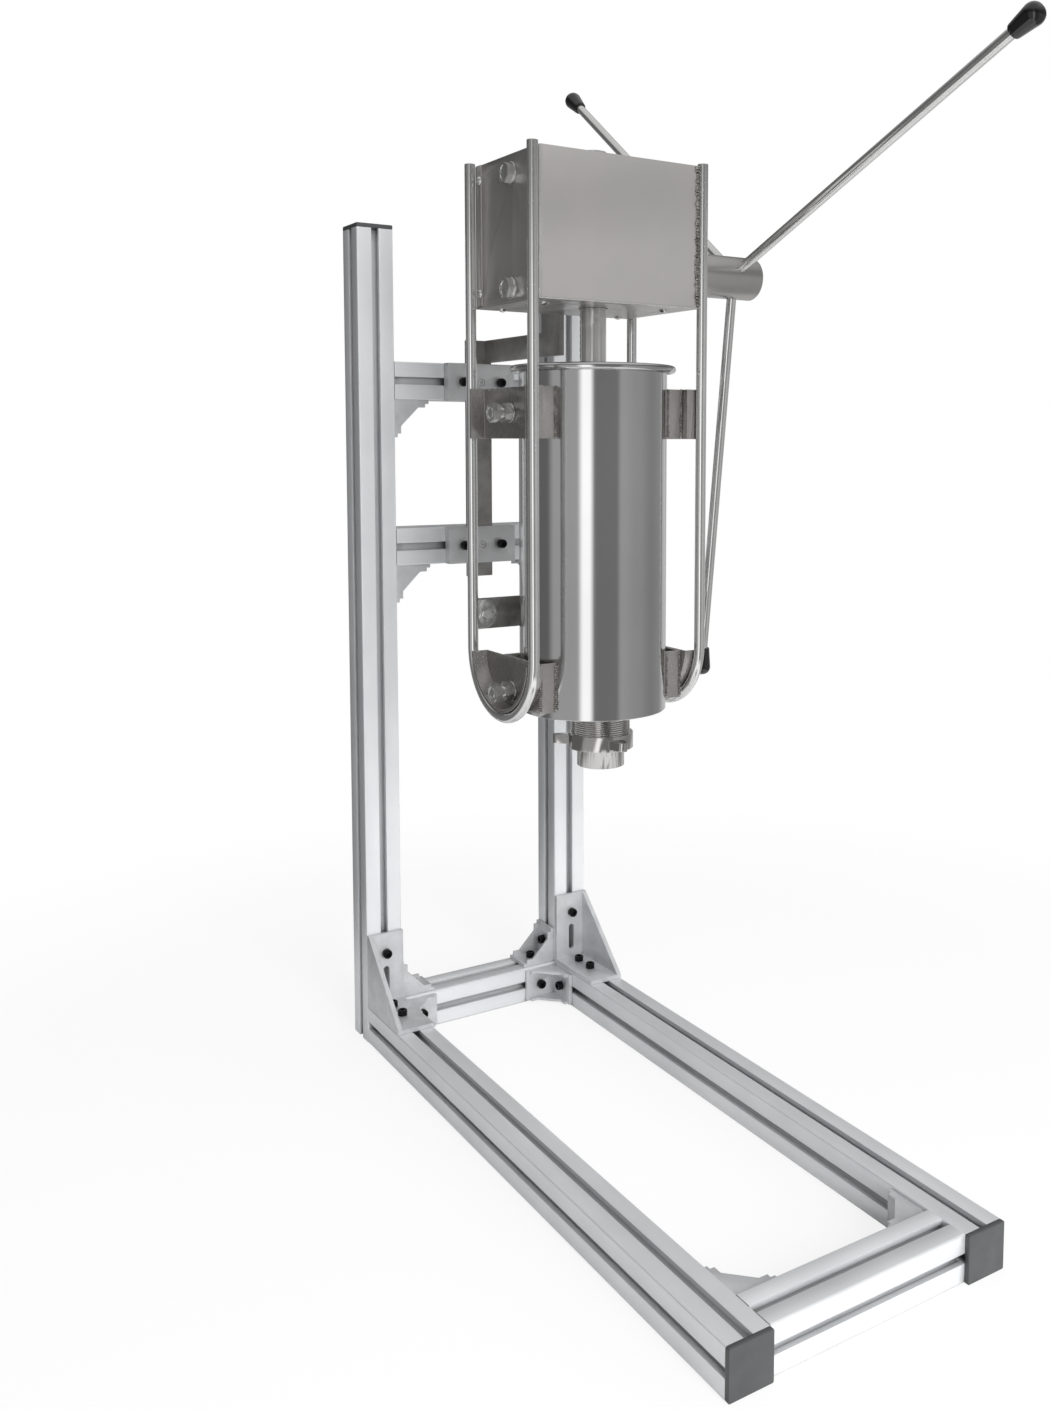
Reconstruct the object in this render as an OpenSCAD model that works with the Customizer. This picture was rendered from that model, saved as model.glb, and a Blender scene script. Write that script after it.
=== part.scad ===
// Hand-cranked churro maker: a batter barrel and a rack gearbox, hung on a stand of
// slotted aluminium profile. +X is the handle side, -Y the side that the filler stands at.
// The origin is on the floor, midway between the posts, under the front land of the
// rear cross rail. At rest the piston is at the bottom of the barrel.

/* [Stand] */
// Width over the two posts
stand_w = 274; // [262:1:330]
// Side of the square aluminium profile
profile = 40; // [40:1:44]
// Height of the posts
post_h = 873; // [800:1:1100]
// Length of the two base rails
rail_l = 636; // [480:1:800]
// Height of the middle of the upper cross rail
upper_z = 716.5; // [690:0.5:730]
// Height of the middle of the lower cross rail
lower_z = 539.4; // [400:0.1:640]
// Thickness of the plastic end caps
cap_t = 4.5; // [2:0.5:8]
// Length of the end caps' pegs
peg_l = 12; // [8:1:20]

/* [Profile section] */
// Radius of the profile's outer edges
edge_r = 1.5; // [0.5:0.1:3]
// Mouth of each slot
slot_mouth = 8; // [7:0.1:10]
// Thickness of the lips beside the mouth
lip_t = 4.5; // [3:0.1:5]
// Width of the slot behind the lips
slot_w = 18; // [15:0.5:20]
// Straight height of the slot's wide part
slot_side = 2.5; // [1:0.1:3]
// Width of the slot's floor
slot_floor = 9; // [6:0.5:11]
// Depth of the slot from the profile's face
slot_depth = 11.7; // [10:0.1:12.5]
// Radius of the profile's middle bore
core_r = 3.4; // [2:0.1:5]

/* [Slot fasteners] */
// Radius of the stand's screws
screw_r = 3; // [2.5:0.1:3.5]
// Radius of their socket heads
head_r = 5; // [4.5:0.1:6]
// Height of their socket heads
head_h = 6; // [4:0.1:7]
// Width across flats of the socket in a head
socket_af = 5; // [3:0.1:6]
// Depth of the socket in a head
socket_depth = 3; // [1:0.1:4]
// Side of a slot nut, along and across the slot
nut_side = 13; // [10:0.5:14]
// Thickness of a slot nut
nut_t = 4; // [3:0.1:5]

/* [Small corner brackets] */
// Length of each leg
bracket_leg = 40; // [34:0.5:44]
// Width of the bracket
bracket_w = 35; // [28:0.5:38]
// Thickness of the legs
bracket_t = 4; // [3:0.1:6]
// Thickness of the two webs
bracket_web = 3; // [2:0.1:5]
// How far the legs' ends stand past the webs
bracket_step = 4; // [1:0.5:8]
// Distance from the corner to each screw
bracket_hole = 22; // [18:0.5:26]

/* [Base gussets] */
// Length of the leg on the rail
gusset_leg = 82; // [70:1:110]
// Height of the leg on the post
gusset_h = 80; // [70:1:110]
// Thickness of the legs
gusset_t = 4.5; // [3:0.1:6]
// Thickness of the outer web
gusset_web = 5; // [3:0.1:8]
// Screws on the rail leg, measured from the corner
gusset_near = 22; // [18:0.5:30]
// Second screw on the rail leg, measured from the corner
gusset_far = 47; // [42:0.5:60]
// Screw on the post leg, measured from the corner
gusset_up = 58; // [55:0.5:62]
// Length of the slotted hole in the post leg
gusset_slot = 30; // [16:1:34]
// Middle of the slotted hole, measured from the corner
gusset_slot_z = 28; // [25:0.5:30]

/* [Spine and hanger] */
// Width of the spine bar
spine_w = 30; // [20:1:34]
// Thickness of the spine bar
spine_t = 5; // [3:0.5:7]
// Height of the spine bar's lower end
spine_low = 504; // [380:1:510]
// Height of the spine bar's upper end
spine_top = 762; // [755:1:770]
// Width of a clamp block
clamp_w = 80; // [70:1:120]
// Thickness of a clamp block
clamp_t = 11.3; // [9:0.1:16]
// Distance of each clamp screw from the middle
clamp_screw_x = 22.5; // [21:0.5:26]
// Radius of the clamp block's middle hole
clamp_hole_r = 4; // [2:0.5:6]
// Thickness of the hanger plate
hanger_t = 6; // [4:0.5:10]
// Left face of the hanger plate
hanger_x = 7; // [-3:0.5:9]
// Height of the hanger plate's arm
hanger_h = 24; // [20:0.5:25]
// Width of the hanger plate's upright
hanger_up_w = 35; // [25:1:60]
// Height of the top of the hanger plate's upright
hanger_top = 870; // [850:1:900]
// Width of the flange against the gearbox
flange_w = 60; // [50:1:90]
// Height of the flange against the gearbox
flange_h = 80; // [60:1:86]
// Thickness of the flange against the gearbox
flange_t = 4; // [3:0.5:6]
// How far the flange's middle lies below the gearbox's middle
flange_drop = 13; // [8:0.5:14]
// Distance between the flange's bolts across
flange_bolt_w = 40; // [36:1:44]
// Distance between the flange's bolts in height
flange_bolt_h = 56; // [30:1:60]

/* [Gearbox] */
// Width of the gearbox
box_w = 172; // [160:1:176]
// Front face of the gearbox, measured forward from the origin
box_front = 300; // [290:1:320]
// Back face of the gearbox, measured forward from the origin
box_back = 178; // [176:1:180]
// Height of the gearbox's underside
box_low = 777; // [775:0.5:779]
// Height of the gearbox's top
box_top = 909; // [905:0.5:930]
// Thickness of the gearbox's folded shell and bottom
sheet_t = 2; // [1.5:0.1:3]
// Outer radius of the shell's bends
shell_bend = 4; // [3.2:0.1:6]
// Thickness of the rear cover
cover_t = 1.2; // [0.8:0.1:1.4]
// Outer radius of the rear cover's bends
cover_bend = 4; // [3:0.1:5]
// Length of the rear cover's side flanges
cover_flange = 14; // [13:0.5:20]
// Width of the shell's inward bottom flanges
bottom_flange = 32; // [28:1:40]
// Distance of the cover screws from the cover's back face
cover_screw_in = 10; // [8.8:0.1:10.5]
// Distance of the cover screws from the box's top and bottom
cover_screw_end = 14; // [10:0.5:20]
// Distance of the bottom screws from the middle
bottom_screw_x = 65; // [60:0.5:70]
// Bottom screws at the back, measured from the back face
bottom_screw_back = 14; // [12:0.5:20]
// Bottom screws at the front, measured from the front face
bottom_screw_front = 28; // [12:0.5:40]
// Radius of the domed screws' shanks
domed_r = 2; // [1.5:0.1:2.5]
// Radius of the domed screws' heads
domed_head_r = 4.2; // [3.5:0.1:4.5]
// Height of the domed screws' heads
domed_head_h = 2.6; // [2:0.1:3]

/* [Guides and bolts] */
// Height of the middle of the upper guide
upper_guide_z = 892; // [888:0.5:894]
// Height of the middle of the lower guide
lower_guide_z = 790; // [789.5:0.1:791]
// Width of the guides, front to back
guide_w = 40; // [34:1:44]
// Height of the guides
guide_h = 16; // [14:0.5:17]
// Radius of the guide bolts' shanks
guide_bolt_r = 5; // [4:0.5:6]
// Width across flats of the guide bolts' heads
guide_bolt_af = 17; // [15:0.5:18]
// Height of the guide bolts' heads
guide_bolt_h = 6.4; // [4:0.1:8]
// Radius of the guide bolts' washers
washer_r = 10; // [9.5:0.1:11]
// Thickness of the washers
washer_t = 2; // [1:0.1:2.5]
// Depth of the tapped hole in each guide's ends
guide_tap = 30; // [20:1:50]
// Length of the bolt inside the guide
guide_grip = 24; // [12:1:29]

/* [Rack and pinion] */
// Gear module, the pitch diameter for each tooth
gear_module = 2; // [1.8:0.1:2]
// Teeth on the pinion
pinion_teeth = 18; // [18:1:19]
// Pressure angle of the teeth
press_angle = 20; // [20:0.5:22]
// Play between the teeth at the pitch line
backlash = 0.2; // [0.16:0.01:0.4]
// Width of the pinion
pinion_w = 24; // [16:1:30]
// Height of the pinion's shaft
shaft_z = 820; // [819:0.1:828]
// Radial gap round the rack in the gearbox's top and bottom
rack_gap = 1.5; // [0.5:0.1:3]
// Radius of the rack's bar
rack_r = 12.5; // [11:0.1:13]
// Depth of the rack's pitch line behind the bar's middle
rack_pitch = 6; // [5.5:0.1:6.5]
// How far the rack stands above the gearbox at rest
rack_proud = 11; // [4:0.5:20]
// Travel of the piston
travel = 345; // [250:1:346]
// Radius of the pinion's shaft
shaft_r = 8; // [6:0.1:9]
// Outer radius of the left bush
bush_r = 15; // [12:0.5:20]
// Length of the left bush
bush_l = 14; // [8:0.5:24]
// Outer radius of the right bearing boss
boss_r = 17.5; // [14:0.5:20]
// How far the boss stands out of the gearbox
boss_out = 17.7; // [12:0.1:24]
// How far the boss reaches into the gearbox
boss_in = 10; // [6:0.5:20]
// Width of the pinion's key
key_w = 5; // [4:0.5:6]
// Height of the pinion's key
key_h = 5; // [4:0.5:5]
// How deep the key sits in the shaft
key_sunk = 3; // [2:0.1:3]
// Outer radius of the shaft's retaining ring
ring_r = 12; // [11:0.5:14]
// Thickness of the shaft's retaining ring
ring_t = 4; // [1:0.5:6]

/* [Handle] */
// Radius of the handle's hub
hub_r = 21.5; // [19:0.5:26]
// Length of the handle's hub
hub_l = 103; // [100:1:130]
// Length of the shaft inside the hub
hub_grip = 66; // [50:1:66]
// Radius of the handle's arms
arm_r = 5; // [4:0.1:6]
// Length from the shaft's middle to the end of a knob
arm_reach = 422; // [300:1:440]
// Distance of the arms from the hub's outer end
arm_in = 21; // [19:0.5:23]
// Angle of the first arm above the level, towards the front
arm_angle = 23.1; // [0:0.1:119]
// Radius at which the arms start inside the hub
arm_root = 12; // [11.5:0.1:14]
// Length of a knob
knob_l = 30; // [24:1:60]
// Radius of a knob's inner end
knob_in_r = 7; // [6.5:0.1:9]
// Radius of a knob's outer end
knob_r = 10; // [9:0.1:14]
// Radius of the dome on a knob's outer end
knob_dome = 14; // [10.5:0.5:30]
// Depth of an arm inside its knob
knob_grip = 22.5; // [12:0.5:22.5]
// Radius of the hub's set screw
set_r = 4; // [3:0.1:5]

/* [Barrel] */
// How far the barrel's axis stands before the posts' middle line
barrel_out = 250; // [240:1:260]
// Outer radius of the barrel
barrel_r = 70; // [66:0.5:71]
// Wall of the barrel
barrel_wall = 1.5; // [1:0.1:2.5]
// Height of the barrel's underside
barrel_low = 398; // [397:0.5:399]
// Height of the barrel's rim
barrel_top = 723; // [715:0.5:730]
// Thickness of the barrel's floor
floor_t = 2; // [1.5:0.1:2.5]
// Outer radius of the rolled rim
rim_r = 78.4; // [75:0.1:80]
// Thickness of the rolled rim
rim_t = 6.6; // [5:0.1:8]
// Height of the lower tabs above the lower end of the loops
tab_rise = 9; // [6:0.5:14]
// Half width of a welded tab
tab_half = 35; // [20:0.5:40]
// How far a welded tab stands out from the barrel's side
tab_out = 8.5; // [5:0.1:10]
// Thickness of a welded tab's sheet
tab_t = 3; // [2:0.1:4]

/* [Loops and brackets] */
// Radius of the bent rods
rod_r = 5; // [4:0.1:5.5]
// Front leg of a loop, measured forward from the origin
leg_front = 298.2; // [296:0.1:302]
// Back leg of a loop, measured forward from the origin
leg_back = 177.6; // [176:0.1:178.4]
// Height of the rods' upper ends
rod_top = 911.5; // [905:0.1:925]
// Height of the lower end of a loop's middle line
loop_low = 396; // [394:0.1:397]
// Lower edge of the upper brackets
upper_bracket_low = 655; // [600:1:660]
// Upper edge of the upper brackets
upper_bracket_top = 702; // [690:1:708]
// Upper edge of the lower brackets
lower_bracket_top = 451; // [446:0.5:455]
// Thickness of the brackets' sheet
web_t = 3; // [2:0.1:4]
// How far the brackets' flanges reach out from the barrel's side
flange_out = 17.5; // [12:0.5:18]
// Height of the lower studs
lower_stud_z = 420; // [418:0.5:430]
// Distance of the studs in front of the origin
stud_front = 238; // [234:0.5:246]
// Radius of the studs
stud_r = 5; // [3:0.1:5.5]
// Length of the studs
stud_l = 24; // [22:0.5:32]
// Width across flats of the studs' nuts
stud_nut_af = 16; // [13:0.5:18]
// Height of the studs' nuts
stud_nut_h = 7.5; // [4:0.1:8]
// Outer radius of the studs' washers
stud_washer_r = 9; // [8:0.1:10]
// Thickness of the studs' washers
stud_washer_t = 1.5; // [1:0.1:2]

/* [Rear strap] */
// Lower edge of the strap
strap_low = 470; // [465:1:520]
// Height of the strap
strap_h = 30; // [24:1:50]
// Thickness of the strap and its clips
strap_t = 3; // [2:0.1:5]
// Half height of a clip
clip_half = 14; // [8:0.5:15]
// Length of a clip, from the rod towards the middle
clip_l = 22; // [18:0.5:30]
// Distance of the clips' screws from the rod
clip_screw = 10.5; // [6:0.1:12]

/* [Piston] */
// Thickness of the piston
piston_h = 24; // [20:0.5:30]
// Gap under the piston at rest
piston_gap = 0.9; // [0.3:0.1:3]
// Height of the piston's seal
seal_h = 10; // [6:0.5:12]
// Depth of the seal's groove
seal_depth = 4.5; // [2:0.1:8]
// Radius of the rack's lower stud
rack_stud_r = 8; // [6:0.1:9]
// Width across flats of the piston's nut
piston_nut_af = 24; // [22:0.5:27]
// Height of the piston's nut
piston_nut_h = 8; // [5:0.5:9]

/* [Outlet] */
// Distance of the outlet in front of the barrel's middle
outlet_off = 14.5; // [0:0.5:20]
// Outer radius of the threaded neck
neck_r = 28; // [26:0.1:30]
// Inner radius of the neck
neck_bore = 24; // [22:0.1:25]
// Length of the neck under the barrel
neck_l = 30; // [26:0.5:40]
// Outer radius of the nozzle
nozzle_r = 22.5; // [20:0.1:23]
// Inner radius of the nozzle
nozzle_bore = 20.5; // [10:0.1:21.2]
// Length of the nozzle under its flange
nozzle_l = 20; // [14:0.5:60]
// Thickness of the nozzle's flange
nozzle_flange = 3; // [2:0.1:5]
// Outer radius of the ring nut
nut_r = 31; // [30.5:0.1:36]
// Height of the ring nut
nut_h = 14.5; // [13:0.1:24]
// Height of the lip under the nozzle's flange
nut_lip = 2.2; // [2:0.1:5]
// Reach of the ring nut's lugs from its middle
lug_reach = 46; // [40:0.5:60]
// Width a lug would have at the ring's axis
lug_w = 30; // [20:0.5:36]
// Radius of a lug's tip
lug_tip = 5; // [3:0.5:8]
// Height of a lug
lug_h = 8; // [6:0.5:12]
// Direction of the first lug
lug_angle = 147; // [0:1:359]

/* [Clearances] */
// Radial gap of a turning or sliding shaft
run_gap = 0.05; // [0.02:0.01:0.1]
// Gap between pieces that pass or seat without touching
seat_gap = 0.3; // [0.2:0.05:0.5]
// Gap round a screw in a plain hole
hole_gap = 0.3; // [0.1:0.05:0.4]

/* [Hidden] */
$fn = 64;
eps = 0.01;
past = 1;
deg = 180 / PI;
hex_scale = 1 / cos(30);

// Stand
half_w = stand_w / 2;
post_in = half_w - profile;
post_mid = half_w - profile / 2;
front_y = -(profile - slot_mouth) / 4;
post_y = front_y + profile / 2;
rail_end = front_y - rail_l;
cross_l = 2 * post_in;
front_cross_y = rail_end + profile / 2;
screw_reach = lip_t + nut_t;

// Spine, hanger and clamps
spine_front = front_y - spine_t;
clamp_front = front_y - clamp_t;
hanger_low = spine_top - hanger_h;
flange_z = (box_low + box_top) / 2 - flange_drop;

// Gearbox
half_box = box_w / 2;
cover_back = -box_back;
cover_face = cover_back - cover_t;
hanger_back = cover_back + flange_t;
shell_back = cover_back - cover_bend - hole_gap / 2;
shell_low = box_low + sheet_t;
cover_half = half_box + cover_t;

// Drive
pitch_r = gear_module * pinion_teeth / 2;
tip_r = pitch_r + gear_module;
root_r = pitch_r - 1.25 * gear_module;
base_r = pitch_r * cos(press_angle);
tooth_pitch = PI * gear_module;
half_tooth = (tooth_pitch - backlash) / 4;
barrel_y = -barrel_out;
pitch_y = barrel_y + rack_pitch;
shaft_y = pitch_y + pitch_r;
rack_top = box_top + rack_proud;
shaft_left = -(half_box - sheet_t);
boss_end = half_box + boss_out;
hub_start = boss_end + seat_gap;
shaft_right = hub_start + hub_grip;
arm_x = hub_start + hub_l - arm_in;
arm_steps = [-6, -2, 4];
key_root = shaft_r - key_sunk;

// Barrel and loops
barrel_in = barrel_r - barrel_wall;
tab_face = barrel_r + tab_out;
loop_x = half_box + rod_r + seat_gap;
loop_r = (leg_front - leg_back) / 2;
loop_y = -(leg_front + leg_back) / 2;
loop_z = loop_low + loop_r;
stud_z = [(upper_bracket_low + upper_bracket_top) / 2, lower_stud_z];
strap_back = -leg_back + rod_r + seat_gap;
strap_z = strap_low + strap_h / 2;
clip_x = loop_x - rod_r - seat_gap;

// Piston
piston_low = barrel_low + floor_t + piston_gap;
piston_top = piston_low + piston_h;
piston_r = barrel_in - 1;
seal_r = barrel_in - seat_gap;
seal_in = piston_r - seal_depth;
seal_z = piston_low + (piston_h - seal_h) / 2;

// Outlet
outlet_y = barrel_y - outlet_off;
neck_low = barrel_low - neck_l;
nozzle_top = neck_low - run_gap;
flange_low = nozzle_top - nozzle_flange;
nut_bore = neck_r + seat_gap;
lip_bore = nozzle_r + seat_gap;
nut_low = flange_low - nut_lip - seat_gap;

aluminium = "#d2d4d6";
die_cast = "#b9bcbe";
steel = "#c8c9ca";
sheet_grey = "#a9a7a5";
black = "#1e1e20";
bright = "#d9dadb";

// Helpers ---------------------------------------------------------------------

module mirrored_x() {
    children();
    mirror([1, 0, 0]) children();
}

// Extrudes a shape drawn in (y, z) along +X
module along_x(length) {
    rotate([90, 0, 90]) linear_extrude(length) children();
}

// Cylinder along +X, from x1 to x2
module x_rod(r, x1, x2) {
    translate([x1, 0, 0]) rotate([0, 90, 0]) cylinder(h = x2 - x1, r = r);
}

module hex_prism(af, h) {
    cylinder(h = h, d = af * hex_scale, $fn = 6);
}

module tube(outer, inner, h) {
    difference() {
        cylinder(h = h, r = outer);
        translate([0, 0, -past]) cylinder(h = h + 2 * past, r = inner);
    }
}

// Screw with its head's seat at z = 0 and its shank going down
module socket_screw(shank) {
    difference() {
        union() {
            cylinder(h = head_h, r = head_r);
            translate([0, 0, -shank]) cylinder(h = shank + eps, r = screw_r);
        }
        translate([0, 0, head_h - socket_depth]) hex_prism(socket_af, socket_depth + past);
    }
}

module domed_screw(shank) {
    ball_r = (domed_head_r * domed_head_r + domed_head_h * domed_head_h) / (2 * domed_head_h);
    intersection() {
        translate([0, 0, domed_head_h - ball_r]) sphere(r = ball_r);
        cylinder(h = domed_head_h + past, r = domed_head_r);
    }
    translate([0, 0, -shank]) cylinder(h = shank + eps, r = domed_r);
}

// Nut behind the lips of a slot, under a piece of the given thickness
module slot_nut(grip) {
    translate([0, 0, -grip - screw_reach])
        difference() {
            translate([-nut_side / 2, -nut_side / 2, 0]) cube([nut_side, nut_side, nut_t]);
            translate([0, 0, -past]) cylinder(h = nut_t + 2 * past, r = screw_r + run_gap);
        }
}

module screw_hole(r, depth) {
    translate([0, 0, -depth - past]) cylinder(h = depth + 2 * past, r = r);
}

// Slotted profile ---------------------------------------------------------------

module slot_shape() {
    face = profile / 2;
    wide_low = face - lip_t - slot_side;
    deep = face - slot_depth;
    polygon([
        [face + past, -slot_mouth / 2], [face - lip_t, -slot_mouth / 2],
        [face - lip_t, -slot_w / 2], [wide_low, -slot_w / 2],
        [deep, -slot_floor / 2], [deep, slot_floor / 2],
        [wide_low, slot_w / 2], [face - lip_t, slot_w / 2],
        [face - lip_t, slot_mouth / 2], [face + past, slot_mouth / 2]
    ]);
}

module rounded_square(side, r) {
    square([side, side - 2 * r], center = true);
    square([side - 2 * r, side], center = true);
    for (a = [0 : 90 : 270])
        rotate(a) translate([side / 2 - r, side / 2 - r]) circle(r = r, $fn = 32);
}

module profile_bar(length) {
    color(aluminium) linear_extrude(length) difference() {
        rounded_square(profile, edge_r);
        for (a = [0 : 90 : 270]) rotate(a) slot_shape();
        circle(r = core_r);
    }
}

module left_post() {
    translate([-post_mid, post_y, 0]) profile_bar(post_h);
}

module right_post() {
    translate([post_mid, post_y, 0]) profile_bar(post_h);
}

module left_rail() {
    translate([-post_mid, front_y, profile / 2]) rotate([90, 0, 0]) profile_bar(rail_l);
}

module right_rail() {
    translate([post_mid, front_y, profile / 2]) rotate([90, 0, 0]) profile_bar(rail_l);
}

module cross_rail(y, z) {
    translate([-post_in, y, z]) rotate([0, 90, 0]) profile_bar(cross_l);
}

module rear_cross_rail() {
    cross_rail(post_y, profile / 2);
}

module front_cross_rail() {
    cross_rail(front_cross_y, profile / 2);
}

module upper_cross_rail() {
    cross_rail(post_y, upper_z);
}

module lower_cross_rail() {
    cross_rail(post_y, lower_z);
}

module end_cap() {
    linear_extrude(cap_t) rounded_square(profile, edge_r);
    translate([0, 0, -peg_l]) cylinder(h = peg_l + eps, r = core_r - run_gap);
}

module end_caps() {
    color(black) mirrored_x() {
        translate([post_mid, post_y, post_h]) end_cap();
        translate([post_mid, rail_end, profile / 2]) rotate([90, 0, 0]) end_cap();
    }
}

// Brackets ------------------------------------------------------------------------

// Two legs: one on the plane z = 0 along +X, one on the plane x = 0 along +Z
module angle_legs(leg_x, leg_z, width, thick) {
    translate([0, -width / 2, 0]) {
        cube([leg_x, width, thick]);
        cube([thick, width, leg_z]);
    }
}

module angle_web(leg_x, leg_z, thick, web, y) {
    translate([0, y + web, 0]) rotate([90, 0, 0]) linear_extrude(web)
        polygon([[0, 0], [leg_x, 0], [leg_x, thick], [thick, leg_z], [0, leg_z]]);
}

// Web whose sloping edge starts with a step inside each leg's end
module stepped_web(leg, thick, web, step, y) {
    translate([0, y + web, 0]) rotate([90, 0, 0]) linear_extrude(web) polygon([
        [0, 0], [leg - step, 0], [leg - step, thick + step], [leg - 3 * step, thick + step],
        [thick + step, leg - 3 * step], [thick + step, leg - step], [0, leg - step]
    ]);
}

module at_bracket_screws() {
    translate([bracket_hole, 0, bracket_t]) children();
    translate([bracket_t, 0, bracket_hole]) rotate([0, 90, 0]) children();
}

module corner_bracket() {
    color(die_cast) difference() {
        union() {
            angle_legs(bracket_leg, bracket_leg, bracket_w, bracket_t);
            for (y = [-bracket_w / 2, bracket_w / 2 - bracket_web])
                stepped_web(bracket_leg, bracket_t, bracket_web, bracket_step, y);
        }
        at_bracket_screws() screw_hole(screw_r + hole_gap, bracket_t);
    }
}

module at_base_corners() {
    mirrored_x() {
        translate([-post_in, front_y, profile / 2]) rotate([90, 0, 0]) children();
        translate([-post_in, front_cross_y + profile / 2, profile / 2])
            mirror([0, 1, 0]) rotate([90, 0, 0]) children();
    }
}

module at_post_corners() {
    mirrored_x() translate([-post_in, post_y, profile]) children();
}

module at_rail_corners() {
    mirrored_x() for (z = [upper_z, lower_z])
        translate([-post_in, post_y, z - profile / 2]) mirror([0, 0, 1]) children();
}

module base_corner_brackets() {
    at_base_corners() corner_bracket();
}

module post_corner_brackets() {
    at_post_corners() corner_bracket();
}

module rail_corner_brackets() {
    at_rail_corners() corner_bracket();
}

module at_all_corners() {
    at_base_corners() children();
    at_post_corners() children();
    at_rail_corners() children();
}

module bracket_screws() {
    color(black) at_all_corners() at_bracket_screws()
        socket_screw(bracket_t + screw_reach);
}

// Right gusset's frame: local +X runs forward along the rail, local +Y is outward
module at_right_gusset() {
    translate([post_mid, front_y, profile]) rotate([0, 0, -90]) children();
}

module at_gusset_screws() {
    for (x = [gusset_near, gusset_far]) translate([x, 0, gusset_t]) children();
    translate([gusset_t, 0, gusset_up]) rotate([0, 90, 0]) children();
}

module gusset() {
    slot_half = gusset_slot / 2 - screw_r - hole_gap;
    color(die_cast) difference() {
        union() {
            angle_legs(gusset_leg, gusset_h, profile, gusset_t);
            angle_web(gusset_leg, gusset_h, gusset_t, gusset_web, profile / 2 - gusset_web);
        }
        at_gusset_screws() screw_hole(screw_r + hole_gap, gusset_t);
        translate([gusset_t, 0, gusset_slot_z]) rotate([0, 90, 0]) {
            for (s = [-slot_half, slot_half])
                translate([s, 0, 0]) screw_hole(screw_r + hole_gap, gusset_t);
            translate([-slot_half, -screw_r - hole_gap, -gusset_t - past])
                cube([2 * slot_half, 2 * (screw_r + hole_gap), gusset_t + 2 * past]);
        }
    }
}

module right_gusset() {
    at_right_gusset() gusset();
}

module left_gusset() {
    mirror([1, 0, 0]) at_right_gusset() gusset();
}

module gusset_screws() {
    color(black) mirrored_x() at_right_gusset() at_gusset_screws()
        socket_screw(gusset_t + screw_reach);
}

module at_clamp_screws() {
    for (z = [upper_z, lower_z], x = [-clamp_screw_x, clamp_screw_x])
        translate([x, clamp_front, z]) rotate([90, 0, 0]) children();
}

module clamp_screws() {
    color(black) at_clamp_screws() socket_screw(clamp_t + screw_reach);
}

module slot_nuts() {
    color(steel) {
        at_all_corners() at_bracket_screws() slot_nut(bracket_t);
        mirrored_x() at_right_gusset() at_gusset_screws() slot_nut(gusset_t);
        at_clamp_screws() slot_nut(clamp_t);
    }
}

// Spine, clamps and hanger --------------------------------------------------------

module spine_bar() {
    color(aluminium) translate([-spine_w / 2, spine_front, spine_low])
        cube([spine_w, spine_t, spine_top - spine_low]);
}

module clamp_block(z) {
    channel = spine_w + 2 * seat_gap;
    color(steel) difference() {
        translate([-clamp_w / 2, clamp_front, z - profile / 2]) cube([clamp_w, clamp_t, profile]);
        translate([-channel / 2, spine_front, z - profile / 2 - past])
            cube([channel, spine_t + past, profile + 2 * past]);
        at_clamp_screws() screw_hole(screw_r + hole_gap, clamp_t);
        translate([0, clamp_front, z]) rotate([90, 0, 0]) screw_hole(clamp_hole_r, clamp_t);
    }
}

module spine_clamps() {
    clamp_block(upper_z);
    clamp_block(lower_z);
}

module at_flange_bolts() {
    for (x = [-flange_bolt_w / 2, flange_bolt_w / 2], z = [-flange_bolt_h / 2, flange_bolt_h / 2])
        translate([hanger_x + hanger_t / 2 + x, hanger_back, flange_z + z])
            rotate([-90, 0, 0]) children();
}

module hanger_plate() {
    inner = hanger_back + hanger_up_w;
    color(steel) difference() {
        union() {
            translate([hanger_x, 0, 0]) along_x(hanger_t) polygon([
                [spine_front, hanger_low], [hanger_back - eps, hanger_low],
                [hanger_back - eps, hanger_top], [inner, hanger_top],
                [inner, spine_top], [spine_front, spine_top]
            ]);
            translate([hanger_x + (hanger_t - flange_w) / 2, cover_back, flange_z - flange_h / 2])
                cube([flange_w, flange_t, flange_h]);
        }
        at_flange_bolts() screw_hole(screw_r + hole_gap, flange_t);
    }
}

module hanger_bolts() {
    color(steel) at_flange_bolts() {
        shank = flange_t + cover_t + nut_t + head_h / 2;
        hex_prism(2 * head_r, nut_t);
        translate([0, 0, -shank]) cylinder(h = shank + eps, r = screw_r);
        translate([0, 0, -flange_t - cover_t - head_h]) difference() {
            hex_prism(2 * head_r, head_h);
            translate([0, 0, -past]) cylinder(h = head_h + 2 * past, r = screw_r + run_gap);
        }
    }
}

// Gearbox ------------------------------------------------------------------------

// Outline of the box seen from above, with its two front edges bent
module box_outline(inset, bend, back) {
    half = half_box - inset;
    front = -box_front + inset;
    translate([-half, front + bend]) square([2 * half, back - front - bend]);
    translate([-half + bend, front]) square([2 * (half - bend), bend + eps]);
    for (s = [-1, 1]) translate([s * (half - bend), front + bend]) circle(r = bend);
}

module at_cover_screws() {
    for (z = [box_low + cover_screw_end, box_top - cover_screw_end])
        translate([cover_half, cover_back - cover_screw_in, z]) rotate([0, 90, 0]) children();
}

module at_bottom_screws() {
    for (y = [-box_back - bottom_screw_back, -box_front + bottom_screw_front])
        translate([bottom_screw_x, y, box_low]) mirror([0, 0, 1]) children();
}

module at_guide_bolts() {
    for (z = [lower_guide_z, upper_guide_z])
        translate([half_box, barrel_y, z]) rotate([0, 90, 0]) children();
}

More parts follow.
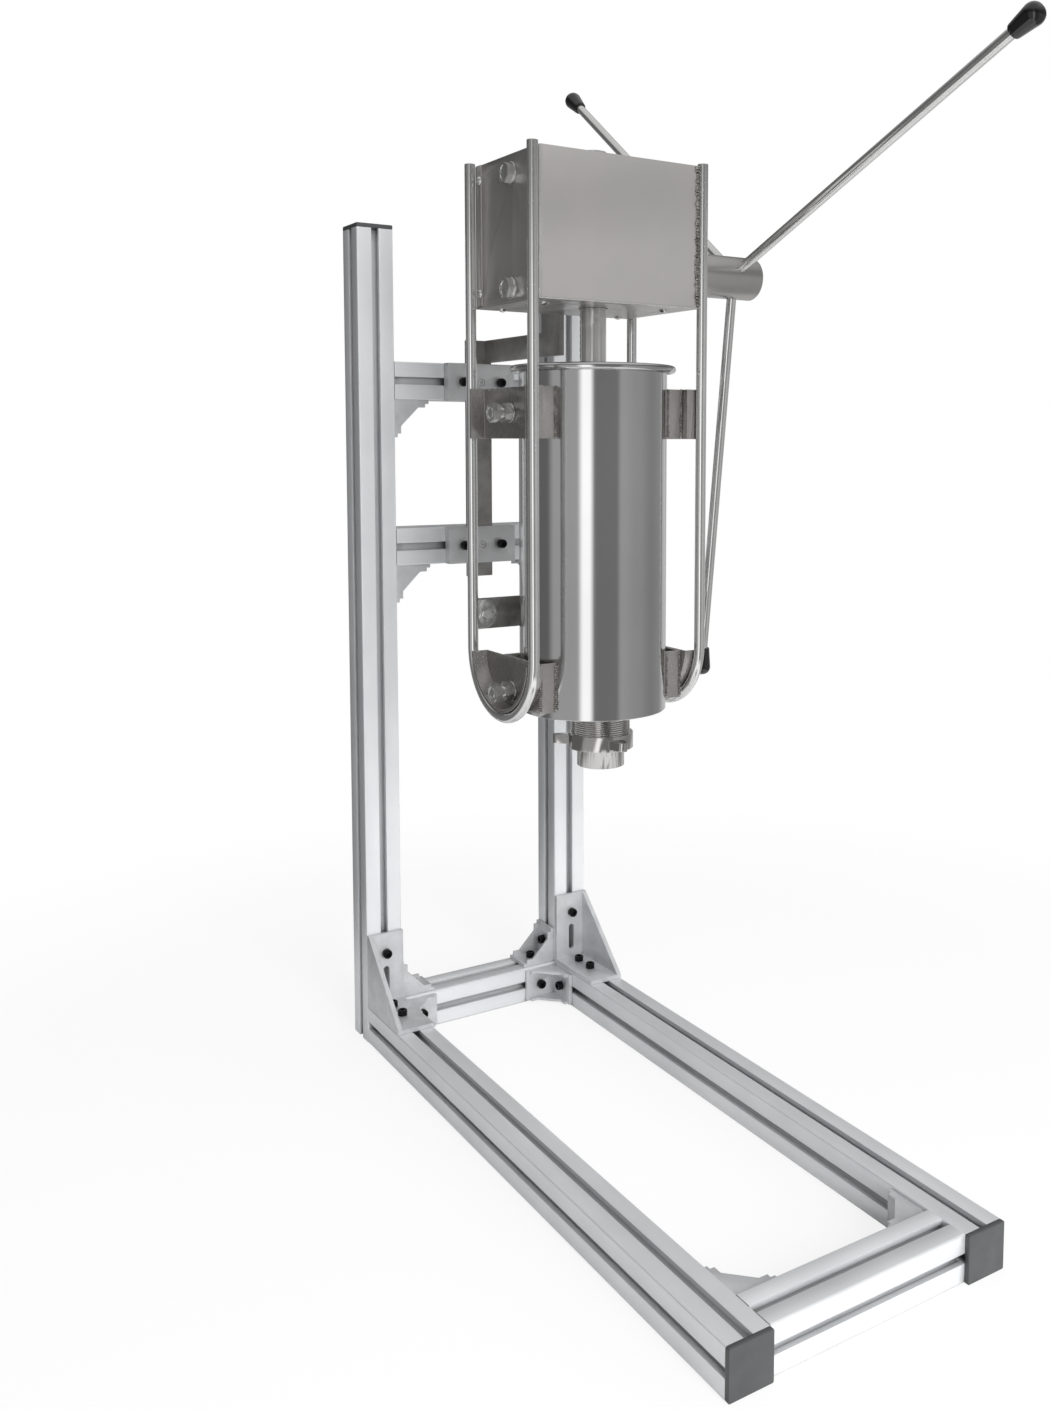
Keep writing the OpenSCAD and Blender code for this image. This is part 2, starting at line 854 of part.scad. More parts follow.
module gearbox_shell() {
    lid_half = half_box - cover_bend;
    inner_bend = shell_bend - sheet_t;
    color(sheet_grey) difference() {
        union() {
            translate([0, 0, shell_low]) linear_extrude(box_top - shell_low)
                box_outline(0, shell_bend, shell_back);
            translate([-lid_half, shell_back - eps, box_top - sheet_t])
                cube([2 * lid_half, cover_face - shell_back - seat_gap, sheet_t]);
        }
        translate([0, 0, shell_low + sheet_t])
            linear_extrude(box_top - shell_low - 2 * sheet_t)
                box_outline(sheet_t, inner_bend, shell_back + past);
        translate([-half_box + bottom_flange, -box_front + sheet_t, shell_low - past])
            cube([box_w - 2 * bottom_flange, box_front, sheet_t + 2 * past]);
        translate([0, barrel_y, box_top - sheet_t - past])
            cylinder(h = sheet_t + 2 * past, r = rack_r + rack_gap);
        translate([0, shaft_y, shaft_z])
            x_rod(boss_r + hole_gap, half_box - sheet_t - past, half_box + past);
        mirrored_x() {
            at_guide_bolts() screw_hole(guide_bolt_r + hole_gap, sheet_t);
            at_cover_screws() screw_hole(domed_r + run_gap, cover_t + sheet_t);
            at_bottom_screws() screw_hole(domed_r + run_gap, 2 * sheet_t);
        }
    }
}

module cover_outline(inset) {
    half = cover_half - inset;
    back = cover_back - inset;
    bend = cover_bend - inset;
    front = cover_back - cover_flange;
    translate([-half, front]) square([2 * half, back - front - bend]);
    translate([-half + bend, front]) square([2 * (half - bend), back - front]);
    for (s = [-1, 1]) translate([s * (half - bend), back - bend]) circle(r = bend);
}

module rear_cover() {
    color(sheet_grey) difference() {
        translate([0, 0, shell_low]) linear_extrude(box_top - shell_low) difference() {
            cover_outline(0);
            cover_outline(cover_t);
            translate([-half_box, cover_back - cover_flange - past])
                square([box_w, cover_flange - cover_bend + past]);
        }
        mirrored_x() at_cover_screws() screw_hole(domed_r + run_gap, cover_t);
        at_flange_bolts() screw_hole(screw_r + hole_gap, flange_t + cover_t);
    }
}

module bottom_plate() {
    color(sheet_grey) difference() {
        translate([0, 0, box_low]) linear_extrude(sheet_t)
            box_outline(0, shell_bend, cover_back - seat_gap);
        translate([0, barrel_y, box_low - past])
            cylinder(h = sheet_t + 2 * past, r = rack_r + rack_gap);
        mirrored_x() at_bottom_screws() screw_hole(domed_r + hole_gap, sheet_t);
    }
}

module cover_screws() {
    color(steel) mirrored_x() {
        at_cover_screws() domed_screw(cover_t + sheet_t);
        at_bottom_screws() domed_screw(2 * sheet_t + seat_gap);
    }
}

module rack_guide(z) {
    inner = half_box - sheet_t;
    color(steel) difference() {
        translate([-inner, barrel_y - guide_w / 2, z - guide_h / 2])
            cube([2 * inner, guide_w, guide_h]);
        translate([0, barrel_y, z - guide_h / 2 - past])
            cylinder(h = guide_h + 2 * past, r = rack_r + run_gap);
        mirrored_x() translate([0, barrel_y, z])
            x_rod(guide_bolt_r + run_gap, inner - guide_tap, inner + past);
    }
}

module rack_guides() {
    rack_guide(upper_guide_z);
    rack_guide(lower_guide_z);
}

module guide_bolts() {
    color(steel) mirrored_x() at_guide_bolts() {
        tube(washer_r, guide_bolt_r + run_gap, washer_t);
        translate([0, 0, washer_t]) hex_prism(guide_bolt_af, guide_bolt_h);
        translate([0, 0, -sheet_t - guide_grip])
            cylinder(h = sheet_t + guide_grip + washer_t + eps, r = guide_bolt_r);
    }
}

module left_bush() {
    color("#c9a86a") translate([shaft_left, shaft_y, shaft_z]) rotate([0, 90, 0])
        tube(bush_r, shaft_r + run_gap, bush_l);
}

module right_bush() {
    start = half_box - sheet_t - boss_in;
    color(steel) translate([start, shaft_y, shaft_z]) rotate([0, 90, 0])
        tube(boss_r, shaft_r + run_gap, boss_end - start);
}

// Loops, brackets and barrel ---------------------------------------------------------

module loop(side) {
    color(steel) translate([side * loop_x, loop_y, loop_z]) {
        for (y = [-loop_r, loop_r])
            translate([0, y, 0]) cylinder(h = rod_top - loop_z, r = rod_r);
        rotate([90, 0, 90]) rotate_extrude(angle = -180, $fn = 96)
            translate([loop_r, 0]) circle(r = rod_r, $fn = 32);
    }
}

module left_loop() {
    loop(-1);
}

module right_loop() {
    loop(1);
}

module stud_holes() {
    for (z = stud_z) translate([0, -stud_front, z])
        x_rod(stud_r + hole_gap, tab_face - past, tab_face + flange_out);
}

// Channel between a loop's legs, on the right side
module upper_bracket() {
    half = loop_r - rod_r - run_gap;
    color(sheet_grey) difference() {
        translate([tab_face, loop_y - half, upper_bracket_low])
            cube([flange_out, 2 * half, upper_bracket_top - upper_bracket_low]);
        translate([tab_face + web_t, loop_y - half + web_t, upper_bracket_low - past])
            cube([flange_out, 2 * (half - web_t), upper_bracket_top - upper_bracket_low + 2 * past]);
        stud_holes();
    }
}

// Cup that follows the inside of a loop's bend, on the right side
module lower_bracket() {
    half = loop_r - rod_r - run_gap;
    color(sheet_grey) difference() {
        intersection() {
            translate([0, loop_y, loop_z]) difference() {
                x_rod(half, tab_face, tab_face + flange_out, $fn = 96);
                x_rod(half - web_t, tab_face + web_t, tab_face + flange_out + past, $fn = 96);
            }
            translate([tab_face, loop_y - half, loop_low])
                cube([flange_out, 2 * half, lower_bracket_top - loop_low]);
        }
        stud_holes();
    }
}

module upper_left_bracket() {
    mirror([1, 0, 0]) upper_bracket();
}

module upper_right_bracket() {
    upper_bracket();
}

module lower_left_bracket() {
    mirror([1, 0, 0]) lower_bracket();
}

module lower_right_bracket() {
    lower_bracket();
}

module barrel() {
    color(bright) translate([0, barrel_y, barrel_low])
        tube(barrel_r, barrel_in, barrel_top - barrel_low, $fn = 128);
}

module barrel_floor() {
    color(bright) translate([0, barrel_y, barrel_low]) difference() {
        cylinder(h = floor_t, r = barrel_in, $fn = 128);
        translate([0, -outlet_off, -past]) cylinder(h = floor_t + 2 * past, r = neck_bore);
    }
}

module barrel_rim() {
    bead = rim_t / 2;
    color(bright) translate([0, barrel_y, 0]) rotate_extrude($fn = 128) {
        translate([barrel_r, barrel_top - barrel_wall])
            square([rim_r - bead - barrel_r, barrel_wall]);
        translate([rim_r - bead, barrel_top - bead]) circle(r = bead, $fn = 32);
    }
}

// Saddles: a flat plate beside the barrel and two legs that reach back to its wall
module barrel_tabs() {
    tall = barrel_top - barrel_low;
    leg_in = tab_half - tab_t;
    color(steel) mirrored_x() difference() {
        for (low_top = [[upper_bracket_low, upper_bracket_top], [loop_low + tab_rise, lower_bracket_top]])
            translate([barrel_r / 2, barrel_y - tab_half, low_top[0]])
                cube([tab_face - barrel_r / 2, 2 * tab_half, low_top[1] - low_top[0]]);
        translate([0, barrel_y - leg_in, barrel_low]) cube([tab_face - tab_t, 2 * leg_in, tall]);
        translate([0, barrel_y, barrel_low])
            cylinder(h = tall, r = barrel_r + run_gap, $fn = 128);
    }
}

module outlet_neck() {
    color(steel) translate([0, outlet_y, neck_low]) tube(neck_r, neck_bore, neck_l);
}

module at_studs() {
    for (z = stud_z) translate([tab_face, -stud_front, z]) rotate([0, 90, 0]) children();
}

module clamp_studs() {
    color(steel) mirrored_x() at_studs() cylinder(h = stud_l, r = stud_r);
}

module stud_nut() {
    difference() {
        hex_prism(stud_nut_af, stud_nut_h);
        translate([0, 0, -past]) cylinder(h = stud_nut_h + 2 * past, r = stud_r + run_gap);
    }
}

module clamp_nuts() {
    color(steel) mirrored_x() at_studs() {
        translate([0, 0, web_t]) tube(stud_washer_r, stud_r + run_gap, stud_washer_t);
        translate([0, 0, web_t + stud_washer_t]) stud_nut();
        translate([0, 0, stud_l - stud_nut_h]) stud_nut();
    }
}

module rear_strap() {
    color(steel) difference() {
        translate([-clip_x, strap_back, strap_low]) cube([2 * clip_x, strap_t, strap_h]);
        mirrored_x() at_clip_screw() screw_hole(screw_r + hole_gap, 2 * strap_t);
    }
}

// Clip screw's frame: its head's seat is on the clip's front face
module at_clip_screw() {
    translate([clip_x - clip_screw, strap_back - strap_t, strap_z]) rotate([90, 0, 0]) children();
}

module strap_clips() {
    color(steel) mirrored_x() difference() {
        translate([clip_x, strap_back, strap_z]) rotate([90, 0, 0]) linear_extrude(strap_t)
            intersection() {
                translate([-clip_l, -clip_half]) square([clip_l, 2 * clip_half]);
                translate([-clip_l + clip_half, 0]) {
                    circle(r = clip_half);
                    translate([0, -clip_half]) square([clip_l, 2 * clip_half]);
                }
            }
        at_clip_screw() screw_hole(screw_r + hole_gap, strap_t);
    }
}

module strap_screws() {
    color(steel) mirrored_x() at_clip_screw() {
        hex_prism(2 * head_r, nut_t);
        translate([0, 0, -2 * strap_t - head_h]) cylinder(h = 2 * strap_t + head_h + eps, r = screw_r);
        translate([0, 0, -2 * strap_t - nut_t]) difference() {
            hex_prism(2 * head_r, nut_t);
            translate([0, 0, -past]) cylinder(h = nut_t + 2 * past, r = screw_r + run_gap);
        }
    }
}

// Drive and handle ---------------------------------------------------------------------

module at_shaft() {
    translate([0, shaft_y, shaft_z]) children();
}

// Half angle of a pinion tooth at radius r
function involute(a) = tan(a) * deg - a;
function half_angle(r) =
    half_tooth / pitch_r * deg + involute(press_angle) - involute(acos(base_r / max(r, base_r)));
flank_r = [root_r, base_r, for (i = [1 : 5]) base_r + (tip_r - base_r) * i / 5];
function polar(r, a) = [r * cos(a), r * sin(a)];

module pinion_outline() {
    polygon([
        for (tooth = [0 : pinion_teeth - 1])
            let (mid = 180 + (tooth + 0.5) * 360 / pinion_teeth)
                each [
                    for (r = flank_r) polar(r, mid - half_angle(r)),
                    for (i = [len(flank_r) - 1 : -1 : 0])
                        polar(flank_r[i], mid + half_angle(flank_r[i]))
                ]
    ]);
}

module drive_pinion() {
    color(steel) at_shaft() translate([-pinion_w / 2, 0, 0]) along_x(pinion_w) difference() {
        pinion_outline();
        circle(r = shaft_r + run_gap);
        translate([0, -key_w / 2]) square([key_root + key_h + run_gap, key_w]);
    }
}

module pinion_shaft() {
    color(steel) at_shaft() difference() {
        x_rod(shaft_r, shaft_left + seat_gap, shaft_right);
        translate([-pinion_w / 2, key_root, -key_w / 2]) cube([pinion_w, key_h, key_w]);
    }
}

module pinion_key() {
    color(steel) at_shaft() translate([-pinion_w / 2, key_root, -key_w / 2])
        cube([pinion_w, key_h, key_w]);
}

module shaft_ring() {
    color(steel) at_shaft()
        translate([half_box - sheet_t - boss_in - seat_gap - ring_t, 0, 0]) rotate([0, 90, 0])
            tube(ring_r, shaft_r + run_gap, ring_t);
}

module at_arms() {
    at_shaft() for (i = [0 : 2])
        translate([arm_x + arm_steps[i], 0, 0])
            rotate([90 - arm_angle + 120 * i, 0, 0]) children();
}

module at_set_screw() {
    at_shaft() translate([hub_start + hub_grip / 4, 0, 0]) rotate([-90, 0, 0]) children();
}

module handle_hub() {
    chamfer = 1;
    color(steel) difference() {
        at_shaft() translate([hub_start, 0, 0]) rotate([0, 90, 0]) rotate_extrude($fn = 96)
            polygon([
                [0, 0], [hub_r - chamfer, 0], [hub_r, chamfer],
                [hub_r, hub_l - chamfer], [hub_r - chamfer, hub_l], [0, hub_l]
            ]);
        at_shaft() x_rod(shaft_r + run_gap, hub_start - past, shaft_right + seat_gap);
        at_arms() translate([0, 0, arm_root]) cylinder(h = hub_r, r = arm_r + run_gap);
        at_set_screw() cylinder(h = hub_r + past, r = set_r + run_gap);
    }
}

module hub_screw() {
    color(black) at_set_screw() translate([0, 0, shaft_r + run_gap]) difference() {
        cylinder(h = hub_r - shaft_r - 2 * past, r = set_r);
        translate([0, 0, hub_r - shaft_r - 2 * past - socket_depth])
            hex_prism(set_r, socket_depth + past);
    }
}

module handle_arms() {
    color(steel) at_arms() translate([0, 0, arm_root])
        cylinder(h = arm_reach - knob_l + knob_grip - arm_root, r = arm_r);
}

module handle_knobs() {
    depth = knob_grip + seat_gap;
    color(black) at_arms() translate([0, 0, arm_reach - knob_l]) rotate_extrude($fn = 48)
        difference() {
            intersection() {
                polygon([[0, 0], [knob_in_r, 0], [knob_r, knob_l], [0, knob_l]]);
                union() {
                    square([2 * knob_r, knob_l - knob_dome / 2]);
                    translate([0, knob_l - knob_dome]) circle(r = knob_dome);
                }
            }
            translate([-past, -past]) square([arm_r + run_gap + past, depth + past]);
        }
}

// Rack and piston -------------------------------------------------------------------------

// Space behind the rack's teeth, drawn in (y, z) with a tooth's middle at z = 0
module tooth_space() {
    below = ceil((travel + tip_r) / tooth_pitch) + 1;
    above = floor((rack_top - shaft_z - tooth_pitch * 2) / tooth_pitch);
    slope = tan(press_angle);
    tip = gear_module;
    root = -1.25 * gear_module;
    at_tip = half_tooth - tip * slope;
    at_root = half_tooth - root * slope;
    polygon([
        [rack_r, -(below + 0.5) * tooth_pitch],
        for (tooth = [-below : above])
            let (mid = tooth * tooth_pitch)
                each [
                    [root, mid - at_root], [tip, mid - at_tip],
                    [tip, mid + at_tip], [root, mid + at_root]
                ],
        [rack_r, (above + 0.5) * tooth_pitch]
    ]);
}

module rack() {
    color(steel) {
        difference() {
            translate([0, barrel_y, piston_top]) cylinder(h = rack_top - piston_top, r = rack_r);
            translate([-rack_r - past, pitch_y, shaft_z]) along_x(2 * (rack_r + past)) tooth_space();
        }
        translate([0, barrel_y, piston_low + past])
            cylinder(h = piston_h - past + eps, r = rack_stud_r);
    }
}

module piston() {
    recess = piston_nut_h + 2 * past;
    color("#e8e8e4") translate([0, barrel_y, piston_low]) rotate_extrude($fn = 128) difference() {
        square([piston_r, piston_h]);
        translate([seal_in, seal_z - piston_low]) square([seal_depth + past, seal_h]);
        translate([-past, -past])
            square([piston_nut_af * hex_scale / 2 + past + seat_gap, recess + past]);
        translate([-past, -past])
            square([rack_stud_r + run_gap + past, piston_h + 2 * past]);
    }
}

module piston_seal() {
    color(black) translate([0, barrel_y, seal_z])
        tube(seal_r, seal_in + run_gap, seal_h, $fn = 128);
}

module piston_nut() {
    color(steel) translate([0, barrel_y, piston_low + 2 * past]) difference() {
        hex_prism(piston_nut_af, piston_nut_h);
        translate([0, 0, -past]) cylinder(h = piston_nut_h + 2 * past, r = rack_stud_r + run_gap);
    }
}

// Nozzle and ring nut ------------------------------------------------------------------------

module nozzle_tube() {
    color(steel) translate([0, outlet_y, 0]) difference() {
        union() {
            translate([0, 0, flange_low]) cylinder(h = nozzle_flange, r = neck_r - hole_gap);
            translate([0, 0, flange_low - nozzle_l]) cylinder(h = nozzle_l + eps, r = nozzle_r);
        }
        translate([0, 0, flange_low - nozzle_l - past])
            cylinder(h = nozzle_l + nozzle_flange + 2 * past, r = nozzle_bore);
    }
}

module ring_nut() {
    color(steel) translate([0, outlet_y, nut_low]) difference() {
        union() {
            cylinder(h = nut_h, r = nut_r);
            for (a = [0 : 120 : 240]) rotate(lug_angle + a)
                translate([0, 0, (nut_h - lug_h) / 2]) linear_extrude(lug_h) {
                    polygon([
                        [0, -lug_w / 2], [lug_reach - lug_tip, -lug_tip],
                        [lug_reach - lug_tip, lug_tip], [0, lug_w / 2]
                    ]);
                    translate([lug_reach - lug_tip, 0]) circle(r = lug_tip);
                }
        }
        translate([0, 0, -past]) cylinder(h = nut_h + 2 * past, r = lip_bore);
        translate([0, 0, nut_lip]) cylinder(h = nut_h, r = nut_bore);
    }
}

left_post();
right_post();
left_rail();
right_rail();
rear_cross_rail();
front_cross_rail();
upper_cross_rail();
lower_cross_rail();
end_caps();
left_gusset();
right_gusset();
gusset_screws();
base_corner_brackets();
post_corner_brackets();
rail_corner_brackets();
bracket_screws();
slot_nuts();
spine_bar();
spine_clamps();
clamp_screws();
hanger_plate();
hanger_bolts();
gearbox_shell();
rear_cover();
bottom_plate();
cover_screws();
rack_guides();
guide_bolts();
left_bush();
right_bush();
left_loop();
right_loop();
upper_left_bracket();
upper_right_bracket();
lower_left_bracket();
lower_right_bracket();
barrel();
barrel_floor();
barrel_rim();
barrel_tabs();
outlet_neck();
clamp_studs();
clamp_nuts();
rear_strap();
strap_clips();
strap_screws();
pinion_shaft();
drive_pinion();
pinion_key();
shaft_ring();
handle_hub();
hub_screw();
handle_arms();
handle_knobs();
rack();
piston();
piston_seal();
piston_nut();
nozzle_tube();
ring_nut();
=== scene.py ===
# Churro maker, dressed for the camera: a batter barrel under a rack gearbox with a
# three-arm handle, hung on a stand of slotted aluminium profile. Lengths in the lists
# are millimetres in the model's frame: +X handle side, -Y front, +Z up, floor at 0.
import math
import random

import bmesh
import bpy
from mathutils import Matrix, Vector


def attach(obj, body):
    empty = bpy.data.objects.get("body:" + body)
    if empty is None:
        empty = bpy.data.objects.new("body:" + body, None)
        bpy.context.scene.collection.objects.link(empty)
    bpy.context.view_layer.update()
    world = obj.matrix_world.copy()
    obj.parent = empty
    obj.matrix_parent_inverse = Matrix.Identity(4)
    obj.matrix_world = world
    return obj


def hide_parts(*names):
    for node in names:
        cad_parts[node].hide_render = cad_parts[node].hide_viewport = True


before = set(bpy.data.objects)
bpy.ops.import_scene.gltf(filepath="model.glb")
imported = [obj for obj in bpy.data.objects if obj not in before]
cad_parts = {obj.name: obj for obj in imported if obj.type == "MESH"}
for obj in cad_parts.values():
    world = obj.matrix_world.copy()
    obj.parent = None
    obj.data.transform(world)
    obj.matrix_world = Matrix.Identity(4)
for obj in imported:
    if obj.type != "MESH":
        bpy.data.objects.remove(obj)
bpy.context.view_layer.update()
scene = bpy.context.scene
MM = 0.001

# Node helper and colours ---------------------------------------------------------


def add(tree, kind, links=None, **settings):
    """Adds a node with its options, and gives each named input a value or an output."""
    made = tree.nodes.new(kind)
    for name, value in settings.items():
        setattr(made, name, value)
    for name, value in (links or {}).items():
        socket = made.inputs[name] if isinstance(name, int) else next(
            s for s in made.inputs if name in (s.identifier, s.name))
        if isinstance(value, bpy.types.NodeSocket):
            tree.links.new(value, socket)
        else:
            socket.default_value = value
    return made


def srgb(text):
    """A screen colour #rrggbb as the linear colour that Blender mixes."""
    parts = [int(text[i:i + 2], 16) / 255 for i in (1, 3, 5)]
    return [p / 12.92 if p <= 0.04045 else ((p + 0.055) / 1.055) ** 2.4 for p in parts] + [1.0]


# Finishes ------------------------------------------------------------------------


def metal(name, light, dark, rough, grain, relief=0.01, spread=0.1, stain=60, metallic=1.0,
          painted_shade_width=0.0):
    """A metal surface, with all its lengths in millimetres. light and dark are the two tones
    that drift over it, one patch every `stain`. grain is the pitch of its marks along X, Y
    and Z, relief their height, and spread how far they move the roughness. Slots about as
    wide as the last length get painted shade: their colour is darkened inside, down to a quarter."""
    material = bpy.data.materials.new(name)
    material.use_nodes = True
    tree = material.node_tree
    tree.nodes.clear()
    place = add(tree, "ShaderNodeTexCoord").outputs["Object"]
    marks = add(tree, "ShaderNodeMapping", {
        "Vector": place, "Scale": [1 / (pitch * MM) for pitch in grain]})
    scratch = add(tree, "ShaderNodeTexNoise", {
        "Vector": marks.outputs["Vector"], "Scale": 1.0, "Detail": 4.0, "Roughness": 0.6})
    drift = add(tree, "ShaderNodeTexNoise", {
        "Vector": place, "Scale": 1 / (stain * MM), "Detail": 3.0, "Roughness": 0.55})
    tone = add(tree, "ShaderNodeMapRange", {
        "Value": drift.outputs["Fac"], "From Min": 0.35, "From Max": 0.7})
    colour = add(tree, "ShaderNodeMix", {
        "Factor_Float": tone.outputs["Result"], "A_Color": srgb(light), "B_Color": srgb(dark)},
        data_type="RGBA").outputs[2]
    # Painted shade: the colour goes darker, down to a quarter, where the ambient-occlusion node
    # finds walls close by, as in slots and corners
    if painted_shade_width:
        open_share = add(tree, "ShaderNodeAmbientOcclusion", {"Distance": painted_shade_width * MM}, samples=8)
        depth = add(tree, "ShaderNodeMapRange", {
            "Value": open_share.outputs["AO"], "From Min": 0.1, "From Max": 0.5,
            "To Min": 0.25, "To Max": 1.0})
        colour = add(tree, "ShaderNodeVectorMath", {
            0: colour, "Scale": depth.outputs["Result"]}, operation="SCALE").outputs["Vector"]
    gloss = add(tree, "ShaderNodeMapRange", {
        "Value": scratch.outputs["Fac"], "From Min": 0.3, "From Max": 0.7,
        "To Min": max(rough - spread, 0.02), "To Max": rough + spread})
    bump = add(tree, "ShaderNodeBump", {
        "Height": scratch.outputs["Fac"], "Strength": 1.0, "Distance": relief * MM})
    surface = add(tree, "ShaderNodeBsdfPrincipled", {
        "Base Color": colour, "Metallic": metallic,
        "Roughness": gloss.outputs["Result"], "Normal": bump.outputs["Normal"]})
    add(tree, "ShaderNodeOutputMaterial", {"Surface": surface.outputs["BSDF"]})
    return material


def moulded(name, light, dark, rough, grain, relief, coat=0.0):
    """Plastic or rubber. grain and relief are the size and height of its moulded texture in
    millimetres, and coat is the share of a clear glossy skin."""
    material = bpy.data.materials.new(name)
    material.use_nodes = True
    tree = material.node_tree
    tree.nodes.clear()
    place = add(tree, "ShaderNodeTexCoord").outputs["Object"]
    texture = add(tree, "ShaderNodeTexNoise", {
        "Vector": place, "Scale": 1 / (grain * MM), "Detail": 3.0, "Roughness": 0.6})
    dust = add(tree, "ShaderNodeTexNoise", {
        "Vector": place, "Scale": 45.0, "Detail": 5.0, "Roughness": 0.65})
    colour = add(tree, "ShaderNodeMix", {
        "Factor_Float": dust.outputs["Fac"], "A_Color": srgb(light), "B_Color": srgb(dark)},
        data_type="RGBA")
    gloss = add(tree, "ShaderNodeMapRange", {
        "Value": dust.outputs["Fac"], "From Min": 0.3, "From Max": 0.7,
        "To Min": rough * 0.8, "To Max": rough * 1.25})
    bump = add(tree, "ShaderNodeBump", {
        "Height": texture.outputs["Fac"], "Strength": 1.0, "Distance": relief * MM})
    surface = add(tree, "ShaderNodeBsdfPrincipled", {
        "Base Color": colour.outputs[2], "Roughness": gloss.outputs["Result"],
        "Normal": bump.outputs["Normal"], "Coat Weight": coat, "Coat Roughness": 0.04,
        "IOR": 1.5})
    add(tree, "ShaderNodeOutputMaterial", {"Surface": surface.outputs["BSDF"]})
    return material


# Satin anodised extrusion: a soft bright face with faint lines drawn along the bar by the
# die. The real lines are about 0.3 mm apart; 0.9 mm shows at this size.
# Slots narrower than about 14 mm get painted shade: their colour is darkened inside
ANODISED = {
    axis: metal("anodised_extrusion_along_" + axis, "#ecedef", "#e2e4e6", 0.34,
                [700 if axis == letter else 0.9 for letter in "xyz"], 0.003, 0.05, 90, 0.5, 14)
    for axis in "xyz"}
# Blasted die-cast aluminium: dull, pale, with a fine pebbled skin, and painted shade darkening
# its recesses narrower than about 6 mm
DIE_CAST = metal("blasted_die_cast_aluminium", "#dddee0", "#cfd0d2", 0.48,
                 [0.8, 0.8, 0.8], 0.02, 0.08, 14, 0.6, 6)
# Black oxide on steel: nearly black with a low metallic glint where it is handled
BLACK_OXIDE = metal("black_oxide_steel", "#2a2a2c", "#161617", 0.34,
                    [0.6, 0.6, 0.6], 0.02, 0.1, 5, 0.85)
# Moulded black plastic end caps: grey bloom from a matt mould
CAP_PLASTIC = moulded("moulded_black_polyamide", "#4e4f50", "#3e3f40", 0.4, 0.5, 0.03)
# Glossy black phenolic balls and grips: one sharp highlight
KNOB_PLASTIC = moulded("glossy_black_phenolic", "#0c0c0d", "#060606", 0.12, 6.0, 0.01, 0.8)
# Folded stainless sheet, brushed up and down: grey and satin, streaks only from close by
BOX_SHEET = metal("brushed_folded_stainless_sheet", "#c4c1bf", "#bcbab8", 0.3,
                  [0.9, 0.9, 40], 0.0015, 0.02, 120, 0.75)
# Dull mill-finish stainless for the bent brackets: darker, blotched from handling
BRACKET_SHEET = metal("mill_finish_stainless_bracket", "#a6a3a1", "#959290", 0.25,
                      [1.2, 1.2, 18], 0.0015, 0.04, 40, 0.75)
# Mirror-polished barrel: clear long reflections, faint upright polishing lines
MIRROR = metal("mirror_polished_stainless", "#dadada", "#d3d3d3", 0.1,
               [1.2, 1.2, 160], 0.0012, 0.03, 120)
# Polished round rod: bright core and dark edges, thin lines along the rod
POLISHED_ROD = metal("polished_stainless_rod", "#ececeb", "#e2e2e1", 0.1,
                     [1.2, 1.2, 25], 0.0003, 0.008, 60, 0.93)
# Bright rolled fasteners: small clear glints, a little uneven
BRIGHT = metal("bright_stainless_fastener", "#e0e0df", "#c8c8c6", 0.12,
               [0.7, 0.7, 0.7], 0.004, 0.04, 8, 0.85)
# Zinc-plated steel: a little blue and softer than stainless
ZINC = metal("zinc_plated_steel", "#bfc3c6", "#a9adb0", 0.32, [0.8, 0.8, 0.8], 0.015, 0.1, 9)
# Turned stainless: satin, with the tool's fine rings round the X axis
TURNED = metal("turned_stainless", "#b2b0ae", "#a8a6a4", 0.22, [0.9, 60, 60], 0.001, 0.02,
               50, 0.85)
# Turned and polished outlet parts: bright, with faint rings round the Z axis
OUTLET = metal("turned_outlet_stainless", "#d2d0ce", "#c4c2c0", 0.12, [40, 40, 0.9], 0.001,
               0.02, 30)
# Ground gear steel with a film of oil: grey, a little brown, softly shining
GEAR = metal("ground_gear_steel", "#9d9b98", "#85827e", 0.28, [0.8, 30, 0.8], 0.01, 0.1, 20)
# Polished rack: a bar as bright as the rods, dull only between the teeth
RACK_STEEL = metal("polished_rack_steel", "#dddcda", "#cfcdcb", 0.13, [1.0, 1.0, 30], 0.001,
                   0.02, 40, 0.85)
# Flat bar with its rolled skin: grey, rough, marked
FLAT_BAR = metal("rolled_flat_bar", "#a3a19f", "#8b8987", 0.36, [1.0, 1.0, 14], 0.012, 0.1, 18,
                 0.75)
# Milled clamp block: pale, close to cast grey
MILLED = metal("milled_steel_block", "#cfd0d1", "#bfc0c1", 0.4, [14, 0.9, 0.9], 0.008, 0.08,
               24, 0.6)
# Sintered bronze bush: warm brown, dull and finely pitted
BRONZE = metal("sintered_bronze", "#b08a55", "#9a7645", 0.4, [0.5, 0.5, 0.5], 0.03, 0.1, 10)
# Weld seam: bright ripples with grey heat tint between them
WELD = metal("welded_stainless_bead", "#c4c1bd", "#85817c", 0.22, [0.8, 0.8, 0.8], 0.05, 0.1, 3)
# Machined white food-grade plastic of the piston: matt and slightly cream
WHITE_PLASTIC = moulded("machined_white_acetal", "#dddcd6", "#d3d2cb", 0.4, 1.2, 0.02)
# Nitrile rubber of the seal: soft, almost black, without a clear highlight
SEAL = moulded("black_nitrile_rubber", "#1d1d1d", "#131313", 0.5, 0.9, 0.03)

# Mesh helpers --------------------------------------------------------------------


def piece(name, mesh, body, finish, slot, *nodes):
    """An object of a finished mesh, tied to its body and its CAD nodes. slot is not used."""
    made = bpy.data.objects.new(name, mesh)
    scene.collection.objects.link(made)
    mesh.materials.clear()
    mesh.materials.append(finish)
    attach(made, body)
    if nodes:
        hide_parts(*nodes)
    return made


def plain_mesh(source):
    """The evaluated shape of an object as one mesh; the object goes."""
    bpy.context.view_layer.update()
    graph = bpy.context.evaluated_depsgraph_get()
    mesh = bpy.data.meshes.new_from_object(source.evaluated_get(graph))
    bpy.data.objects.remove(source)
    return mesh


